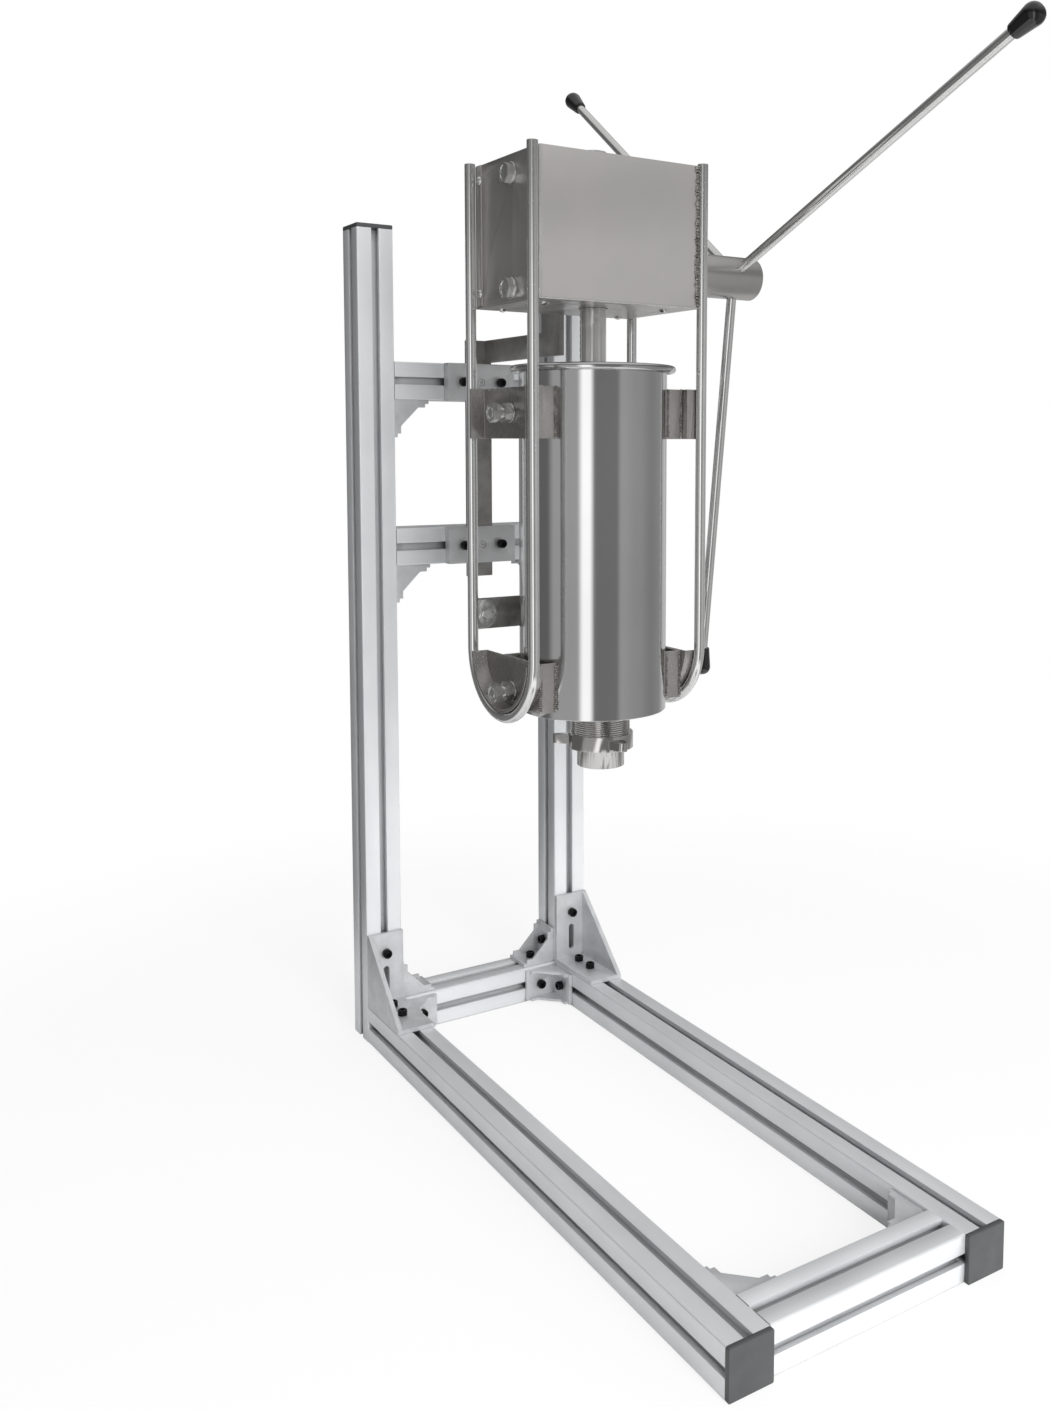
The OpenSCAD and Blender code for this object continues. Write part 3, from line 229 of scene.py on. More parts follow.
def rounded(mesh, width, segments=2, angle=30):
    """Bevels every edge sharper than angle by width millimetres."""
    mesh.polygons.foreach_set("use_smooth", [True] * len(mesh.polygons))
    holder = bpy.data.objects.new("holder", mesh)
    scene.collection.objects.link(holder)
    bevel = holder.modifiers.new("edges", "BEVEL")
    bevel.width = width * MM
    bevel.segments = segments
    bevel.limit_method = "ANGLE"
    bevel.angle_limit = math.radians(angle)
    bevel.harden_normals = True
    bevel.use_clamp_overlap = True
    return plain_mesh(holder)


def merged(*nodes):
    """One mesh of copies of CAD meshes, with their doubled points merged."""
    bm = bmesh.new()
    for node in nodes:
        bm.from_mesh(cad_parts[node].data)
    bmesh.ops.remove_doubles(bm, verts=bm.verts, dist=0.002 * MM)
    bmesh.ops.dissolve_limit(bm, angle_limit=math.radians(0.6), verts=bm.verts,
                             edges=bm.edges)
    mesh = bpy.data.meshes.new("merged")
    bm.to_mesh(mesh)
    bm.free()
    return mesh


def softened(node, width, body, finish, slot, segments=2, angle=30):
    """A CAD node with its real edge radii."""
    return piece(node + "_dressed", rounded(merged(node), width, segments, angle), body,
                 finish, slot, node)


def facing(place, direction, spin=0.0):
    """Frame at a place, its local Z along a direction, turned about it by spin degrees."""
    turn = Vector(direction).to_track_quat("Z", "Y").to_matrix().to_4x4()
    return Matrix.Translation(place) @ turn @ Matrix.Rotation(math.radians(spin), 4, "Z")


def solid(points, faces, about=Matrix(), sharp=35):
    """A mesh of points in millimetres, smooth but for edges sharper than `sharp`."""
    mesh = bpy.data.meshes.new("solid")
    mesh.from_pydata([about @ Vector(p) * MM for p in points], [], faces)
    bm = bmesh.new()
    bm.from_mesh(mesh)
    bmesh.ops.remove_doubles(bm, verts=bm.verts, dist=0.001 * MM)
    bmesh.ops.recalc_face_normals(bm, faces=bm.faces)
    bm.to_mesh(mesh)
    bm.free()
    mesh.polygons.foreach_set("use_smooth", [True] * len(mesh.polygons))
    mesh.set_sharp_from_angle(angle=math.radians(sharp))
    return mesh


def stacked(rings, closed=False):
    """Points and faces through rings of equal count; a ring of one point is a pole."""
    points, starts = [], []
    for ring in rings:
        starts.append((len(points), len(ring)))
        points += ring
    faces = []
    pairs = list(zip(starts, starts[1:] + (starts[:1] if closed else [])))
    for (a, count_a), (b, count_b) in pairs[:len(starts) if closed else len(starts) - 1]:
        count = max(count_a, count_b)
        for i in range(count):
            j = (i + 1) % count
            corner = [a + i % count_a, a + j % count_a, b + j % count_b, b + i % count_b]
            faces.append(list(dict.fromkeys(corner)))
    return points, faces


def lathe(profile, steps=96, about=Matrix(), closed=False, sharp=35):
    """Turns a profile of (radius, height) about local Z."""
    rings = [
        [(0, 0, h)] if r == 0 else
        [(r * math.cos(t), r * math.sin(t), h)
         for t in (2 * math.pi * i / steps for i in range(steps))]
        for r, h in profile]
    return solid(*stacked(rings, closed), about, sharp)


def joined(*meshes):
    """Several meshes as one."""
    bm = bmesh.new()
    for mesh in meshes:
        bm.from_mesh(mesh)
    result = bpy.data.meshes.new("joined")
    bm.to_mesh(result)
    bm.free()
    result.set_sharp_from_angle(angle=math.radians(35))
    return result


def arc(centre, radius, start, end, steps):
    """Points of an arc in a plane, angles in degrees."""
    return [(centre[0] + radius * math.cos(math.radians(start + (end - start) * i / steps)),
             centre[1] + radius * math.sin(math.radians(start + (end - start) * i / steps)))
            for i in range(steps + 1)]


# Geometry Nodes trees --------------------------------------------------------------


def new_tree(name, inputs):
    """An empty tree that takes a mesh and the named inputs, and its input sockets."""
    tree = bpy.data.node_groups.new(name, "GeometryNodeTree")
    for label, kind in [("Geometry", "Geometry")] + inputs:
        tree.interface.new_socket(label, in_out="INPUT", socket_type="NodeSocket" + kind)
    tree.interface.new_socket("Geometry", in_out="OUTPUT", socket_type="NodeSocketGeometry")
    return tree, add(tree, "NodeGroupInput").outputs


def close_tree(tree, shape, finish):
    """Ends a tree in real geometry with its material."""
    real = add(tree, "GeometryNodeRealizeInstances", {"Geometry": shape})
    dressed = add(tree, "GeometryNodeSetMaterial", {
        "Geometry": real.outputs["Geometry"], "Material": finish})
    add(tree, "NodeGroupOutput", {"Geometry": dressed.outputs["Geometry"]})
    return tree


def fastener_tree():
    """Sets one fastener on every point, turned by the point's own angles."""
    tree, given = new_tree("fasteners_on_spots", [
        ("Fastener", "Object"), ("Size", "Float"), ("Finish", "Material")])
    pattern = add(tree, "GeometryNodeObjectInfo", {"Object": given["Fastener"]})
    angles = add(tree, "GeometryNodeInputNamedAttribute", {"Name": "turn"},
                 data_type="FLOAT_VECTOR")
    turn = add(tree, "FunctionNodeEulerToRotation", {"Euler": angles.outputs["Attribute"]})
    placed = add(tree, "GeometryNodeInstanceOnPoints", {
        "Points": given["Geometry"], "Instance": pattern.outputs["Geometry"],
        "Rotation": turn.outputs["Rotation"], "Scale": given["Size"]})
    return close_tree(tree, placed.outputs["Instances"], given["Finish"])


def rod_tree():
    """A round bar along a path, closed at both ends."""
    tree, given = new_tree("bar_along_path", [
        ("Radius", "Float"), ("Sides", "Int"), ("Finish", "Material")])
    path = add(tree, "GeometryNodeMeshToCurve", {"Mesh": given["Geometry"]})
    ring = add(tree, "GeometryNodeCurvePrimitiveCircle", {
        "Radius": given["Radius"], "Resolution": given["Sides"]})
    bar = add(tree, "GeometryNodeCurveToMesh", {
        "Curve": path.outputs["Curve"], "Profile Curve": ring.outputs["Curve"],
        "Fill Caps": True})
    return close_tree(tree, bar.outputs["Mesh"], given["Finish"])


def bead_tree():
    """A weld seam: overlapping flattened drops at an even pitch along a path."""
    tree, given = new_tree("weld_along_path", [
        ("Drop", "Float"), ("Pitch", "Float"), ("Seed", "Int"), ("Finish", "Material")])
    path = add(tree, "GeometryNodeMeshToCurve", {"Mesh": given["Geometry"]})
    spots = add(tree, "GeometryNodeCurveToPoints", {
        "Curve": path.outputs["Curve"], "Length": given["Pitch"]}, mode="LENGTH")
    drop = add(tree, "GeometryNodeMeshIcoSphere", {"Radius": given["Drop"], "Subdivisions": 3})
    shape = add(tree, "FunctionNodeRandomValue", {
        "Min": (0.7, 0.7, 0.55), "Max": (1.45, 1.35, 1.05), "Seed": given["Seed"]},
        data_type="FLOAT_VECTOR")
    placed = add(tree, "GeometryNodeInstanceOnPoints", {
        "Points": spots.outputs["Points"], "Instance": drop.outputs["Mesh"],
        "Rotation": spots.outputs["Rotation"], "Scale": shape.outputs["Value"]})
    return close_tree(tree, placed.outputs["Instances"], given["Finish"])


def grown(mesh, tree, **values):
    """Runs a tree on a mesh and returns the plain result."""
    holder = bpy.data.objects.new("holder", mesh)
    scene.collection.objects.link(holder)
    modifier = holder.modifiers.new("grow", "NODES")
    modifier.node_group = tree
    for item in tree.interface.items_tree:
        if item.in_out == "INPUT" and item.name in values:
            modifier[item.identifier] = values[item.name]
    return plain_mesh(holder)


FASTENERS, ROD, BEAD = fastener_tree(), rod_tree(), bead_tree()


def path_mesh(*paths):
    """Open paths of points in millimetres, as edges."""
    points, edges = [], []
    for path in paths:
        first = len(points)
        points += [Vector(p) * MM for p in path]
        edges += [(first + i, first + i + 1) for i in range(len(path) - 1)]
    mesh = bpy.data.meshes.new("paths")
    mesh.from_pydata(points, edges, [])
    return mesh


def set_fasteners(name, pattern, spots, body, finish, slot, *nodes):
    """One piece that holds a copy of the pattern at every spot (place, direction, spin)."""
    frames = [facing(*spot) for spot in spots]
    mesh = bpy.data.meshes.new("spots")
    mesh.from_pydata([f.translation * MM for f in frames], [], [])
    turn = mesh.attributes.new("turn", "FLOAT_VECTOR", "POINT")
    turn.data.foreach_set("vector", [angle for f in frames for angle in f.to_euler()])
    holder = bpy.data.objects.new("pattern", pattern)
    scene.collection.objects.link(holder)
    result = grown(mesh, FASTENERS, Fastener=holder, Size=1.0, Finish=finish)
    bpy.data.objects.remove(holder)
    result.set_sharp_from_angle(angle=math.radians(35))
    return piece(name, result, body, finish, slot, *nodes)


def seam(name, paths, drop, pitch, seed, slot="bracket_sheet"):
    """Weld seams along paths, drops of the given radius in millimetres."""
    result = grown(path_mesh(*paths), BEAD, Drop=drop * MM, Pitch=pitch * MM, Seed=seed,
                   Finish=WELD)
    result.polygons.foreach_set("use_smooth", [True] * len(result.polygons))
    return piece(name, result, "stand", WELD, slot)


# Fastener patterns, seat at z = 0 ---------------------------------------------------


def hex_radius(flats, t):
    """Distance from the middle to a hexagon's side at angle t."""
    return flats / 2 / math.cos((t + math.pi / 6) % (math.pi / 3) - math.pi / 6)


def ring_of(steps, radius, height):
    """A ring whose radius and height may follow the angle."""
    result = []
    for i in range(steps):
        t = 2 * math.pi * i / steps
        r = radius(t) if callable(radius) else radius
        h = height(t) if callable(height) else height
        result.append((r * math.cos(t), r * math.sin(t), h))
    return result


def socket_head(head_r=5.0, head_h=6.0, flats=5.0, depth=3.0, shank_r=3.0, shank=8.5):
    """Socket-head screw with a knurled side, a rounded top edge and a hexagon socket."""
    steps, knurls = 72, 24
    knurl = lambda t: head_r - 0.12 * (1 + math.cos(knurls * t))
    socket = lambda t: hex_radius(flats, t)
    rings = [
        [(0, 0, -shank)], ring_of(steps, shank_r, -shank), ring_of(steps, shank_r, 0),
        ring_of(steps, head_r - 0.3, 0), ring_of(steps, knurl, 0.3),
        ring_of(steps, knurl, head_h - 0.9), ring_of(steps, head_r - 0.3, head_h - 0.35),
        ring_of(steps, head_r - 0.8, head_h), ring_of(steps, flats * 0.64, head_h),
        ring_of(steps, socket, head_h - 0.3), ring_of(steps, socket, head_h - depth),
        [(0, 0, head_h - depth - 0.6)]]
    return solid(*stacked(rings))


def hex_head(flats, height, shank_r=0.0, shank=0.0, mark=0.0):
    """Hexagon head with its turned chamfer; mark is the depth of a dished top."""
    steps, crown = 72, flats / 2 * 0.97
    side = lambda t: hex_radius(flats, t)
    top = lambda t: height - max(0.0, hex_radius(flats, t) - crown) * math.tan(math.radians(30))
    rings = [ring_of(steps, crown * 0.98, 0), ring_of(steps, side, 0.25),
             ring_of(steps, side, top), ring_of(steps, crown, height),
             ring_of(steps, crown * 0.8, height), ring_of(steps, crown * 0.76, height - mark),
             [(0, 0, height - mark)]]
    if shank:
        rings = [[(0, 0, -shank)], ring_of(steps, shank_r, -shank),
                 ring_of(steps, shank_r, 0)] + rings
    else:
        rings = [[(0, 0, 0)]] + rings
    return solid(*stacked(rings))


def nut_with_thread(flats, height, bore):
    """Hexagon nut, chamfered on both faces, with a countersunk hole."""
    steps, crown = 72, flats / 2 * 0.97
    slope = math.tan(math.radians(30))
    side = lambda t: hex_radius(flats, t)
    low = lambda t: max(0.0, hex_radius(flats, t) - crown) * slope
    high = lambda t: height - max(0.0, hex_radius(flats, t) - crown) * slope
    rings = [ring_of(steps, bore, 0.7), ring_of(steps, bore + 0.6, 0), ring_of(steps, crown, 0),
             ring_of(steps, side, low), ring_of(steps, side, high),
             ring_of(steps, crown, height), ring_of(steps, bore + 0.6, height),
             ring_of(steps, bore, height - 0.7)]
    return solid(*stacked(rings, closed=True))


def washer(outer, inner, thick):
    """Punched washer with its edges broken."""
    return lathe([(inner, 0.2), (inner + 0.2, 0), (outer - 0.3, 0), (outer, 0.3),
                  (outer, thick - 0.4), (outer - 0.4, thick), (inner + 0.3, thick),
                  (inner, thick - 0.3)], 64, closed=True)


def lifted(mesh, height):
    """The same pattern, higher above its seat."""
    mesh.transform(Matrix.Translation((0, 0, height * MM)))
    return mesh


def threaded(radius, start, end, pitch, chamfer=0.8, steps=48):
    """Rod with rolled thread ridges between two heights."""
    profile = [(0, start), (radius - chamfer, start), (radius, start + chamfer)]
    height = start + chamfer
    while height + pitch < end - chamfer:
        profile += [(radius, height), (radius - 0.45 * pitch, height + pitch / 2)]
        height += pitch
    profile += [(radius, end - chamfer), (radius - chamfer, end), (0, end)]
    return lathe(profile, steps)


# Stand -------------------------------------------------------------------------------


def bar_outline():
    """Section of the 40 mm slotted profile."""
    side = [(20, -18.5), (20, -4.6), (19.8, -4.1), (19.3, -4.0), (15.5, -4), (15.5, -9),
            (13, -9), (8.3, -4.5)]
    side += [(x, -y) for x, y in reversed(side)]
    side += arc((18.5, 18.5), 1.5, 15, 75, 4)
    outline = []
    for quarter in range(4):
        c, s = ((1, 0), (0, 1), (-1, 0), (0, -1))[quarter]
        outline += [(x * c - y * s, x * s + y * c) for x, y in side]
    return outline


def profile_bar(node, start, direction, length):
    """A cut length of profile, open down its middle, its saw-cut ends closed."""
    about = facing(start, direction)
    outline = bar_outline()
    core = [(3.4 * math.cos(t), 3.4 * math.sin(t))
            for t in (2 * math.pi * i / 32 for i in range(32))]
    bm = bmesh.new()
    ends = []
    for loop in (outline, core):
        rings = [[bm.verts.new(about @ Vector((x, y, h)) * MM) for x, y in loop]
                 for h in (0.0, length)]
        for i in range(len(loop)):
            j = (i + 1) % len(loop)
            bm.faces.new((rings[0][i], rings[0][j], rings[1][j], rings[1][i]))
        ends.append(rings)
    for end in (0, 1):
        edges = []
        for rings in ends:
            ring = rings[end]
            edges += [bm.edges.get((ring[i], ring[(i + 1) % len(ring)]))
                      for i in range(len(ring))]
        bmesh.ops.triangle_fill(bm, use_beauty=True, edges=edges)
    bmesh.ops.recalc_face_normals(bm, faces=bm.faces)
    mesh = bpy.data.meshes.new("bar")
    bm.to_mesh(mesh)
    bm.free()
    mesh.polygons.foreach_set("use_smooth", [True] * len(mesh.polygons))
    mesh.set_sharp_from_angle(angle=math.radians(25))
    axis = "xyz"[max(range(3), key=lambda k: abs(direction[k]))]
    piece(node + "_bar", mesh, "stand", ANODISED[axis], "anodised_profile", node)


HALF = 20  # half the profile's side
POST_X, POST_Y, POST_H = 117, 12, 873  # the posts' middles and height
POST_IN, FRONT_Y = POST_X - HALF, POST_Y - HALF  # their inner sides and fronts
RAIL_L = 636
RAIL_END = FRONT_Y - RAIL_L
UPPER_Z, LOWER_Z = 716.5, 539.4  # middles of the two cross rails that carry the machine
for side, word in ((-1, "left"), (1, "right")):
    profile_bar(word + "_post", (side * POST_X, POST_Y, 0), (0, 0, 1), POST_H)
    profile_bar(word + "_rail", (side * POST_X, FRONT_Y, HALF), (0, -1, 0), RAIL_L)
for node, y, z in (("rear_cross_rail", POST_Y, HALF),
                   ("front_cross_rail", RAIL_END + HALF, HALF),
                   ("upper_cross_rail", POST_Y, UPPER_Z), ("lower_cross_rail", POST_Y, LOWER_Z)):
    profile_bar(node, (-POST_IN, y, z), (1, 0, 0), 2 * POST_IN)

softened("end_caps", 0.9, "stand", CAP_PLASTIC, "black_plastic", 3)
for node in ("left_gusset", "right_gusset"):
    softened(node, 0.9, "stand", DIE_CAST, "die_cast", 3)
for node in ("base_corner_brackets", "post_corner_brackets", "rail_corner_brackets"):
    softened(node, 0.7, "stand", DIE_CAST, "die_cast")


def both_sides(spots):
    """The spots and their mirror images across the middle."""
    return spots + [((-p[0], p[1], p[2]), (-d[0], d[1], d[2]), -s) for p, d, s in spots]


def turned(spots, seed):
    """Gives each spot the chance angle at which its screw came to rest."""
    chance = random.Random(seed)
    return [(p, d, chance.uniform(0, 60)) for p, d in spots]


WEB, SCREW_REACH = 4, 22  # a corner bracket's web, and its screws' distance from the corner


def bracket_spots(corner, away):
    """Both screws of the bracket in a corner that a cross rail makes with the left bar."""
    across = (1, 0, 0)
    on_rail = [c + SCREW_REACH * a + WEB * w for c, a, w in zip(corner, across, away)]
    on_bar = [c + WEB * a + SCREW_REACH * w for c, a, w in zip(corner, across, away)]
    return [(tuple(on_rail), away), (tuple(on_bar), across)]


corner_spots = bracket_spots((-POST_IN, FRONT_Y, HALF), (0, -1, 0))
corner_spots += bracket_spots((-POST_IN, RAIL_END + 2 * HALF, HALF), (0, 1, 0))
corner_spots += bracket_spots((-POST_IN, POST_Y, 2 * HALF), (0, 0, 1))
for z in (UPPER_Z, LOWER_Z):
    corner_spots += bracket_spots((-POST_IN, POST_Y, z - HALF), (0, 0, -1))
set_fasteners("bracket_socket_screws", socket_head(), both_sides(turned(corner_spots, 3)),
              "stand", BLACK_OXIDE, "black_screw", "bracket_screws")
GUSSET_T = 4.5
gusset_spots = [((POST_X, y, 2 * HALF + GUSSET_T), (0, 0, 1)) for y in (-30, -55)]
gusset_spots.append(((POST_X, FRONT_Y - GUSSET_T, 98), (0, -1, 0)))
set_fasteners("gusset_socket_screws", socket_head(), both_sides(turned(gusset_spots, 5)),
              "stand", BLACK_OXIDE, "black_screw", "gusset_screws")
CLAMP_FRONT, CLAMP_SCREW_X = -19.3, 22.5
clamp_spots = [((CLAMP_SCREW_X, CLAMP_FRONT, z), (0, -1, 0)) for z in (UPPER_Z, LOWER_Z)]
set_fasteners("clamp_socket_screws", socket_head(shank=19.8), both_sides(turned(clamp_spots, 7)),
              "stand", BLACK_OXIDE, "black_screw", "clamp_screws")

softened("spine_bar", 0.5, "stand", FLAT_BAR, "anodised_profile")
softened("spine_clamps", 0.5, "stand", MILLED, "clamp_steel")
set_screw = lathe([(0, -6), (3.7, -6), (3.7, -0.8), (3.2, -0.3), (2, -0.3), (1.8, -2.5),
                   (0, -3)], 40)
set_fasteners("clamp_set_screws", set_screw,
              [((0, CLAMP_FRONT, z), (0, -1, 0), 0.0) for z in (UPPER_Z, LOWER_Z)], "stand",
              BRIGHT, "bright_steel")
softened("hanger_plate", 0.5, "stand", FLAT_BAR, "clamp_steel")
HANGER_X, HANGER_BACK, HANGER_Z = 10, -174, 830  # middle of the plate's bolts, and their seat
set_fasteners("hanger_hex_bolts", hex_head(10, 4, 3, 14, 0.3),
              turned([((HANGER_X + x, HANGER_BACK, HANGER_Z + z), (0, 1, 0))
                      for x in (-20, 20) for z in (-28, 28)], 11),
              "stand", ZINC, "zinc_steel", "hanger_bolts")

# Gearbox -----------------------------------------------------------------------------

# Outer faces of the box, and the heights of its lower and upper screws
BOX_SIDE, COVER_SIDE, BOX_FRONT, BOX_LOW, BOX_TOP = 86, 87.2, -300, 777, 909
COVER_Z, GUIDE_Z, GUIDE_Y = (791, 895), (790, 892), -250
softened("gearbox_shell", 0.9, "stand", BOX_SHEET, "gearbox_sheet")
softened("rear_cover", 0.3, "stand", BOX_SHEET, "gearbox_sheet")
softened("bottom_plate", 0.35, "stand", BOX_SHEET, "gearbox_sheet")


def domed_head(radius=4.2, height=2.6):
    """Domed screw with a small recess in its crown."""
    ball = (radius ** 2 + height ** 2) / (2 * height)
    dome = [(math.sqrt(ball ** 2 - (h + ball - height) ** 2), h)
            for h in (height * i / 10 for i in range(10))]
    return lathe([(0, -4), (2, -4), (2, 0), (radius - 0.2, 0)] + dome
                 + [(0.9, height), (0.7, height - 0.7), (0, height - 0.8)], 48)


cover_spots = [((COVER_SIDE, -188, z), (1, 0, 0)) for z in COVER_Z]
cover_spots += [((65, y, BOX_LOW), (0, 0, -1)) for y in (-192, -272)]
set_fasteners("cover_domed_screws", domed_head(), both_sides(turned(cover_spots, 13)), "stand",
              BRIGHT, "bright_steel", "cover_screws")
guide_spots = turned([((BOX_SIDE, GUIDE_Y, z), (1, 0, 0)) for z in GUIDE_Z], 17)
set_fasteners("guide_hex_bolts", hex_head(17, 8.4, 5, 26, 0.8), both_sides(guide_spots), "stand",
              BRIGHT, "bright_steel", "guide_bolts")
set_fasteners("guide_washers", washer(10, 5.1, 2), both_sides(guide_spots), "stand", BRIGHT,
              "bright_steel")
softened("rack_guides", 0.5, "stand", GEAR, "gear_steel")
softened("right_bush", 0.6, "stand", TURNED, "turned_steel", 3)
softened("left_bush", 0.4, "stand", BRONZE, "bronze")
weld_line = [(BOX_SIDE - 2, BOX_FRONT + 0.4, z) for z in range(BOX_LOW + 4, BOX_TOP - 1, 3)]
seam("box_corner_weld", [weld_line], 2.6, 3.0, 23, "gearbox_sheet")

# The front sheet's ground edges, left and below, catch the light as a fine bright line
EDGE_X, EDGE_Y, EDGE_LOW, EDGE_TOP = BOX_SIDE - 0.5, BOX_FRONT + 0.3, BOX_LOW + 0.5, BOX_TOP - 0.6
edge_paths = [[(-EDGE_X, EDGE_Y, EDGE_LOW), (-EDGE_X, EDGE_Y, EDGE_TOP)],
              [(-EDGE_X, EDGE_Y, EDGE_LOW), (EDGE_X, EDGE_Y, EDGE_LOW)]]
edges = grown(path_mesh(*edge_paths), ROD, Radius=0.6 * MM, Sides=10, Finish=BRIGHT)
edges.set_sharp_from_angle(angle=math.radians(45))
piece("ground_front_edges", edges, "stand", BRIGHT, "gearbox_sheet")

# Barrel, loops and brackets -------------------------------------------------------------

BARREL_Y, ROD_R = -250, 5
at_barrel = Matrix.Translation((0, BARREL_Y, 0))
rim = [(70, 718.6), (70.5, 719.1)] + arc((75.1, 719.7), 3.3, 190, 450, 26)
barrel_wall = [(70, 398.6)] + rim + [(69.6, 723), (68.9, 722.6), (68.5, 721.8), (68.5, 400),
                                     (68.5, 398.2), (69.4, 398)]
piece("barrel_wall_and_rolled_rim", lathe(barrel_wall, 192, at_barrel, closed=True),
      "stand", MIRROR, "mirror_steel", "barrel", "barrel_rim")
softened("barrel_floor", 0.25, "stand", MIRROR, "mirror_steel")
softened("barrel_tabs", 0.5, "stand", BRACKET_SHEET, "bracket_sheet")
# The saddles' edges are welded to the barrel's wall and to the brackets' plates
TAB_EDGE, TAB_WELD_X, TAB_SPANS = 35.4, (61.4, 77.2), ((657, 702), (408, 450))
tab_seams = [[(side * x, BARREL_Y + edge * TAB_EDGE, z) for z in range(low, high, 4)]
             for side in (-1, 1) for edge in (-1, 1) for low, high in TAB_SPANS
             for x in TAB_WELD_X]
seam("tab_welds", tab_seams, 1.5, 2.0, 29)

# Middle lines of the two bent rods: side, front and back legs, middle of the bend, and top
LOOP_X, LEG_FRONT, LEG_BACK, BEND_Z, ROD_TOP = 91.3, -298.2, -177.6, 456.3, 911.5
bend_r = (LEG_BACK - LEG_FRONT) / 2
loop_y = (LEG_BACK + LEG_FRONT) / 2
for side, node in ((-1, "left_loop"), (1, "right_loop")):
    path = [(LEG_FRONT, ROD_TOP), (LEG_FRONT, 700)]
    path += arc((loop_y, BEND_Z), bend_r, 180, 360, 60)
    path += [(LEG_BACK, 700), (LEG_BACK, ROD_TOP)]
    mesh = grown(path_mesh([(side * LOOP_X, y, z) for y, z in path]), ROD, Radius=ROD_R * MM,
                 Sides=40, Finish=POLISHED_ROD)
    mesh.set_sharp_from_angle(angle=math.radians(35))
    piece(node + "_rod", rounded(mesh, 0.5), "stand", POLISHED_ROD, "polished_rod", node)

for node in ("upper_left_bracket", "upper_right_bracket", "lower_left_bracket",
             "lower_right_bracket"):
    softened(node, 0.5, "stand", BRACKET_SHEET, "bracket_sheet")
rod_seams = [[(side * (LOOP_X - 0.3), leg + step * (ROD_R + 0.2), z) for z in range(659, 700, 4)]
             for side in (-1, 1) for leg, step in ((LEG_FRONT, 1), (LEG_BACK, -1))]
seam("bracket_welds", rod_seams, 1.3, 1.9, 31)

STUD_X, STUD_Y, STUD_Z = 78.5, -238, (678.5, 420)  # seats of the upper and lower studs
STUD_R, STUD_L = 5, 24
stud_spots = [((STUD_X, STUD_Y, z), (1, 0, 0), 0.0) for z in STUD_Z]
set_fasteners("threaded_clamp_studs", threaded(STUD_R, 0.1, STUD_L, 1.25), both_sides(stud_spots),
              "stand", BRIGHT, "bright_steel", "clamp_studs")


NUT_BORE = STUD_R + 0.05
nut_stack = joined(lifted(washer(9, NUT_BORE, 1.5), 3),
                   *[lifted(nut_with_thread(16, 7.5, NUT_BORE), seat) for seat in (4.5, 16.5)])
nut_spots = [((STUD_X, STUD_Y, z), (1, 0, 0), spin) for z, spin in zip(STUD_Z, (14.0, 41.0))]
set_fasteners("clamp_stud_nuts", nut_stack, both_sides(nut_spots), "stand", BRIGHT,
              "bright_steel", "clamp_nuts")

softened("rear_strap", 0.5, "stand", FLAT_BAR, "clamp_steel")
softened("strap_clips", 0.5, "stand", BRIGHT, "bright_steel")
strap_bolt = joined(hex_head(10, 4, 3, 12, 0.3), lifted(nut_with_thread(10, 4, 3.05), -10))
strap_spots = [((75.5, -175.3, 485), (0, -1, 0), 9.0)]
set_fasteners("strap_hex_screws", strap_bolt, both_sides(strap_spots), "stand", BRIGHT,
              "bright_steel", "strap_screws")
clip_seams = [[(side * 86.2, -174.2, z) for z in range(473, 498, 3)] for side in (-1, 1)]
seam("clip_welds", clip_seams, 1.1, 1.7, 37)

# Handle ------------------------------------------------------------------------------------

AXIS_Y, AXIS_Z = -226, 820  # the pinion shaft's line
HUB_START, HUB_L, HUB_R = 104, 103, 21.5
at_hub = facing((HUB_START, AXIS_Y, AXIS_Z), (1, 0, 0))
hub = [(0, 0), (20.3, 0), (21.2, 0.35), (HUB_R, 1.2)]
hub += [(HUB_R, HUB_L - 1.6), (21.1, HUB_L - 0.6), (20.2, HUB_L), (8.4, HUB_L)]
hub += [(7.6, HUB_L - 0.5), (2.4, HUB_L - 0.5), (1.6, HUB_L - 2.4), (0, HUB_L - 3.2)]
piece("turned_hub", lathe(hub, 128, at_hub), "handle", TURNED, "turned_steel", "handle_hub")
softened("pinion_shaft", 0.4, "handle", GEAR, "gear_steel")
softened("drive_pinion", 0.15, "handle", GEAR, "gear_steel")
softened("hub_screw", 0.2, "handle", BLACK_OXIDE, "black_screw")

# The three arms sit side by side along the hub, a third of a turn apart
ARM_X, FIRST_ARM = (180, 184, 190), 90 - 23.1
ARM_R, ARM_START, ARM_END = 5, 12, 414
GRIP_R, GRIP_START, GRIP_END = 7.15, 393.2, 422
arm_frames = []
for i, along in enumerate(ARM_X):
    angle = math.radians(FIRST_ARM + 120 * i)
    arm_frames.append(facing((along, AXIS_Y, AXIS_Z), (0, -math.sin(angle), math.cos(angle))))
arm = [(0, ARM_START)] + [(ARM_R, h) for h in (ARM_START, 40, 200, 391.4, ARM_END)]
arm += [(0, ARM_END)]
piece("polished_arms", joined(*[lathe(arm, 40, f) for f in arm_frames]), "handle",
      POLISHED_ROD, "polished_rod", "handle_arms")
knob = [(ARM_R + 0.05, 392.6), (6.1, 392), (6.8, 392.3), (GRIP_R, GRIP_START)]
knob += [(GRIP_R + 2.65 * h / 20, GRIP_START + h) for h in range(2, 21, 2)]
knob += [(9.6, 415.2), (9.0, 417.1), (7.9, 418.9), (6.4, 420.3), (4.4, 421.3), (2.2, 421.85),
         (0, GRIP_END)]
piece("tapered_grips", joined(*[lathe(knob, 56, f) for f in arm_frames]), "handle",
      KNOB_PLASTIC, "gloss_black", "handle_knobs")

# Ram ------------------------------------------------------------------------------------------

